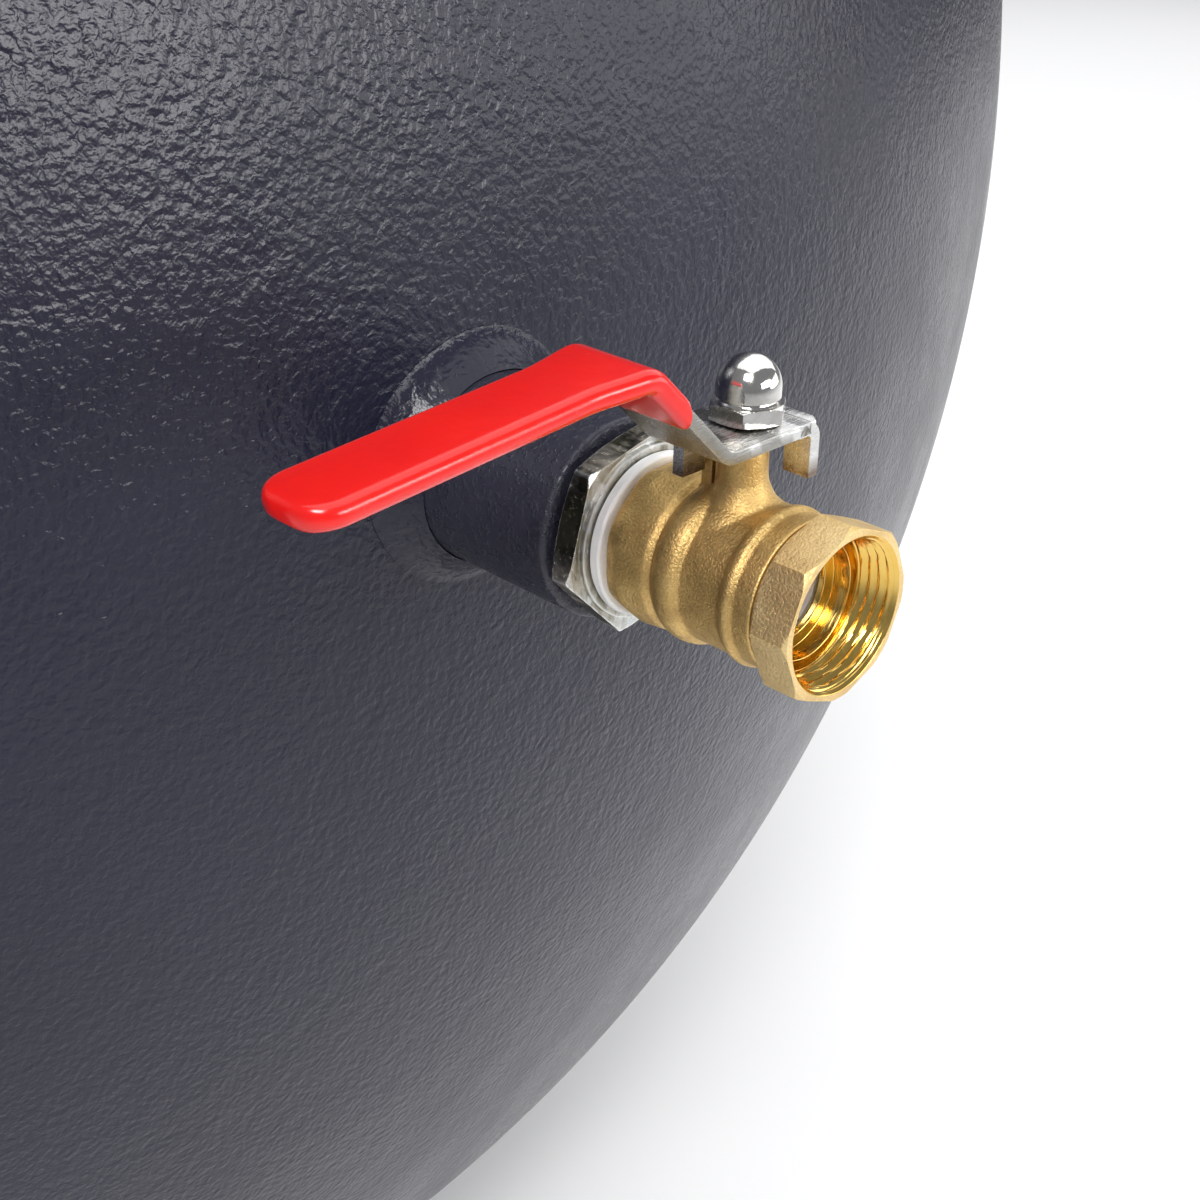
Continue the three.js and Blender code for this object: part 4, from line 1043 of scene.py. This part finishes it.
def lever_path(step, tip_extra=0.0):
    """Points [outward, height] along the lever's middle line, each with the direction square to it."""
    low = UNDERSIDE + PLATE / 2
    high = low + RISE
    droop = math.radians(DROOP)
    far = TIP + tip_extra * math.cos(droop)
    line = [
        Vector((-LEVER_BACK, low)),
        Vector((FIRST_BEND, low)),
        Vector((SECOND_BEND, high)),
        Vector((far, high - (far - SECOND_BEND) * math.tan(droop))),
    ]
    points = [line[0]]
    for i in (1, 2):
        back = (line[i - 1] - line[i]).normalized()
        on = (line[i + 1] - line[i]).normalized()
        half = back.angle(on) / 2
        reach = BEND_RADIUS / math.tan(half)
        centre = line[i] + (back + on).normalized() * BEND_RADIUS / math.sin(half)
        first = line[i] + back * reach - centre
        sweep = (line[i] + on * reach - centre).angle_signed(first)
        for k in range(17):
            a = sweep * k / 16
            out = first.x * math.cos(a) - first.y * math.sin(a)
            rise = first.x * math.sin(a) + first.y * math.cos(a)
            points.append(centre + Vector((out, rise)))
    points.append(line[3])
    dense = []
    for a, b in zip(points, points[1:]):
        cuts = max(1, round((b - a).length / step))
        dense.extend(a.lerp(b, k / cuts) for k in range(cuts))
    dense.append(points[-1])
    path = []
    for i, p in enumerate(dense):
        along = (dense[min(i + 1, len(dense) - 1)] - dense[max(i - 1, 0)]).normalized()
        path.append((p, Vector((-along.y, along.x))))
    return path


def half_width(s, extra):
    """Half the lever's width at a distance out from the stem."""
    wide, narrow = LEVER_HALF + extra, NARROW_HALF + extra
    blend = min(1, max(0, (s - SECOND_BEND) / TAPER))
    blend = blend * blend * (3 - 2 * blend)
    width = wide + (narrow - wide) * blend
    corner, round_tip = 1.5, 5 + extra
    from_back = s + LEVER_BACK
    if from_back < corner:
        width -= corner - math.sqrt(max(0, corner**2 - (corner - from_back) ** 2))
    from_tip = TIP + extra - s
    if from_tip < round_tip:
        width -= round_tip - math.sqrt(max(0, round_tip**2 - (round_tip - from_tip) ** 2))
    return max(width, 0.05)


def strip_section(point, up, half, thickness, corner, steps):
    """A rounded rectangle across the lever."""
    ring = []
    corner = min(corner, thickness / 2 - 0.01, half - 0.01)
    for sx, sz, start in CORNERS:
        middle = (sx * (half - corner), sz * (thickness / 2 - corner))
        for x, z in arc(middle, corner, start, start + 90, steps):
            at = point + up * z
            ring.append((x, -at.x, at.y))
    return ring


def bent_tab():
    """A tab folded down from the lever's edge, and how far out it reaches."""
    reach = TAB_BEND + PLATE / 2
    path = [(-2.0, 0, 0)]
    for degrees in range(0, 91, 15):
        t = math.radians(degrees)
        path.append((reach * math.sin(t), -reach * (1 - math.cos(t)), t))
    path.append((reach, -(TAB_DEPTH + PLATE / 2), math.pi / 2))
    sections = []
    for out, up, t in path:
        ring = []
        for y, side in zip(TAB_SPAN + TAB_SPAN[::-1], (1, 1, -1, -1)):
            x = out + side * PLATE / 2 * math.sin(t)
            z = up + side * PLATE / 2 * math.cos(t)
            ring.append((x, y, UNDERSIDE + PLATE / 2 + z))
        sections.append(ring)
    return loft(sections), reach + PLATE / 2


def build_lever():
    sections = []
    for point, up in lever_path(1.2):
        sections.append(strip_section(point, up, half_width(point.x, 0), PLATE, 0.22, 2))
    lever = mesh_object("lever", loft(sections))
    tab, out = bent_tab()
    side = Matrix.Translation(Vector((-LEVER_HALF + out, 0, 0))) @ Matrix.Diagonal(Vector((-1, 1, 1, 1)))
    end = Matrix.Translation(Vector((0, LEVER_BACK - out, 0))) @ QUARTER_TURN
    for place in (side, end):
        combine(lever, "UNION", moved(tab, place))
    hole = [(x, max(-2.0, min(2.0, y))) for x, y in arc((0, 0), 2.5, 0, 360, 47)]
    combine(lever, "DIFFERENCE", slab(hole[:-1], 20, 28))
    bevelled(lever, 0.16, 2, 50)
    finish_piece(lever, "lever_plate", "valve_lever", "plated_steel", ["lever"], VALVE, 32)


def upright_mouth(ring, point, up):
    """Slides a ring's corners along the slope so that the sleeve's mouth is cut upright."""
    share = max(0.0, 1 - (point.x - GRIP_START) / 2.5)
    out = []
    for x, y, z in ring:
        slide = share * (-y - point.x) / up.y
        out.append((x, y + slide * up.y, z + slide * up.x))
    return out


def build_grip():
    """A sleeve over the lever: an outer and an inner skin that meet at its mouth."""
    path = [(point, up) for point, up in lever_path(0.5, GRIP_WALL) if point.x >= GRIP_START]
    end = path[-1][0].x
    outer = []
    for point, up in path:
        left = max(0.0, end - point.x)
        shrink = 1 - max(0.0, 1 - left / 1.9) ** 2 * 0.55
        lip = 1 - 0.2 * max(0.0, 1 - (point.x - GRIP_START) / 0.5)
        thickness = (PLATE + 2 * GRIP_WALL) * shrink * lip
        ring = strip_section(point, up, half_width(point.x, GRIP_WALL), thickness, 1.75, 6)
        outer.append(upright_mouth(ring, point, up))
    inner = []
    for point, up in path[:-8]:
        ring = strip_section(point, up, half_width(point.x, GRIP_GAP), PLATE + 2 * GRIP_GAP, 0.5, 6)
        inner.append(upright_mouth(ring, point, up))
    count = len(outer[0])
    verts = [p for ring in outer for p in ring]
    faces = grid_faces(len(outer), count, False)
    faces.append(tuple(range(len(verts) - count, len(verts))))
    base = len(verts)
    verts += [p for ring in inner for p in ring]
    faces += [tuple(base + i for i in face) for face in grid_faces(len(inner), count, False)]
    faces.append(tuple(range(len(verts) - count, len(verts))))
    for i in range(count):
        k = (i + 1) % count
        faces.append((i, k, base + k, base + i))
    grip = mesh_object("grip", (verts, faces))
    finish_piece(grip, "grip_sleeve", "valve_lever", "red_vinyl", ["lever_grip"], VALVE, 55)


def build_nut():
    flats, bottom = 11.4, 26.8
    corner = flats / 2 / math.cos(math.pi / 6)
    turn = math.radians(-55)
    top = bottom + 2.9
    outline = [
        (2.5, bottom),
        (flats / 2 - 0.1, bottom),
        (corner, bottom + 0.3),
        (corner, top - 0.3),
        (flats / 2 + 0.1, top),
        (5.05, top),
        (4.8, top + 0.3),
        (5.2, top + 0.75),
    ]
    outline += arc((0, bottom + 5.2), 5.2, 0, 88, 22)
    outline += [(0, bottom + 10.4), (0, bottom + 6.3), (2.5, bottom + 6.3)]
    outline = finer(outline, 0.22)

    def warp(r, h, a):
        if h < top + 0.01 and r > 5:
            return min(r, prism_radius(a, 6, flats, turn, 0.15)), h
        return r, h

    turned_piece(
        "acorn_nut", outline, 240, "nickel_plate", "lever_nut", VALVE, "valve_lever", warp, angle=26
    )


build_vessel()
build_saddles()
build_nipple()
build_seal()
build_body()
build_cap()
build_ball()
build_lever()
build_grip()
build_nut()

# ---- Floor, light and camera, in metres ----

FLOOR_HALF, FLOOR_DROP = 14, 0.0005


def build_stage():
    corners = [(sx * FLOOR_HALF, sy * FLOOR_HALF, 0) for sx, sy in ((-1, -1), (1, -1), (1, 1), (-1, 1))]
    floor = mesh_object("floor", (corners, [(0, 1, 2, 3)]))
    floor.location.z = -FLOOR_DROP
    material, shader = new_material("pale_floor", (0.94, 0.94, 0.94), 0.9)
    floor.data.materials.append(material)


def area_light(name, place, aim, size, watts, spread=180):
    data = bpy.data.lights.new(name, "AREA")
    data.spread = math.radians(spread)
    data.shape = "RECTANGLE"
    data.size, data.size_y = size
    data.energy = watts
    lamp = bpy.data.objects.new(name, data)
    lamp.location = place
    lamp.rotation_euler = (Vector(aim) - Vector(place)).to_track_quat("-Z", "Y").to_euler()
    bpy.context.scene.collection.objects.link(lamp)


def build_light():
    world = bpy.data.worlds.new("studio")
    world.use_nodes = True
    world.node_tree.nodes["Background"].inputs["Color"].default_value = (0.95, 0.97, 1.0, 1)
    world.node_tree.nodes["Background"].inputs["Strength"].default_value = 0.24
    bpy.context.scene.world = world
    area_light("side_panel", (-0.35, 1.9, 1.35), (-0.35, 1.9, 0), (3.4, 4.6), 56)
    front = STEM + Vector((2.9, 0.75, 0.66))
    area_light("front_window", front, STEM + Vector((0, 0, 0.35)), (2.0, 0.9), 7, 60)
    area_light("side_window", STEM + Vector((1.9, 2.4, 0.3)), STEM, (2.6, 1.1), 9, 120)
    area_light("key", STEM + Vector((0.9, -1.3, 1.5)), STEM, (0.9, 0.9), 5, 60)


def build_camera():
    data = bpy.data.cameras.new("camera")
    data.lens = 48.96
    data.sensor_width = 36
    data.clip_start = 0.01
    data.clip_end = 100
    camera = bpy.data.objects.new("camera", data)
    bpy.context.scene.collection.objects.link(camera)
    right = Vector((0.70223, 0.71182, 0.01374))
    up = Vector((-0.33734, 0.31568, 0.88688))
    back = right.cross(up).normalized()
    up = back.cross(right).normalized()
    turn = Matrix((right, up, back)).transposed().to_4x4()
    camera.matrix_world = Matrix.Translation(STEM + Vector((0.15363, -0.18565, 0.11890))) @ turn
    bpy.context.scene.camera = camera


build_stage()
build_light()
build_camera()
bpy.context.scene.view_settings.view_transform = "Standard"

bpy.context.view_layer.update()
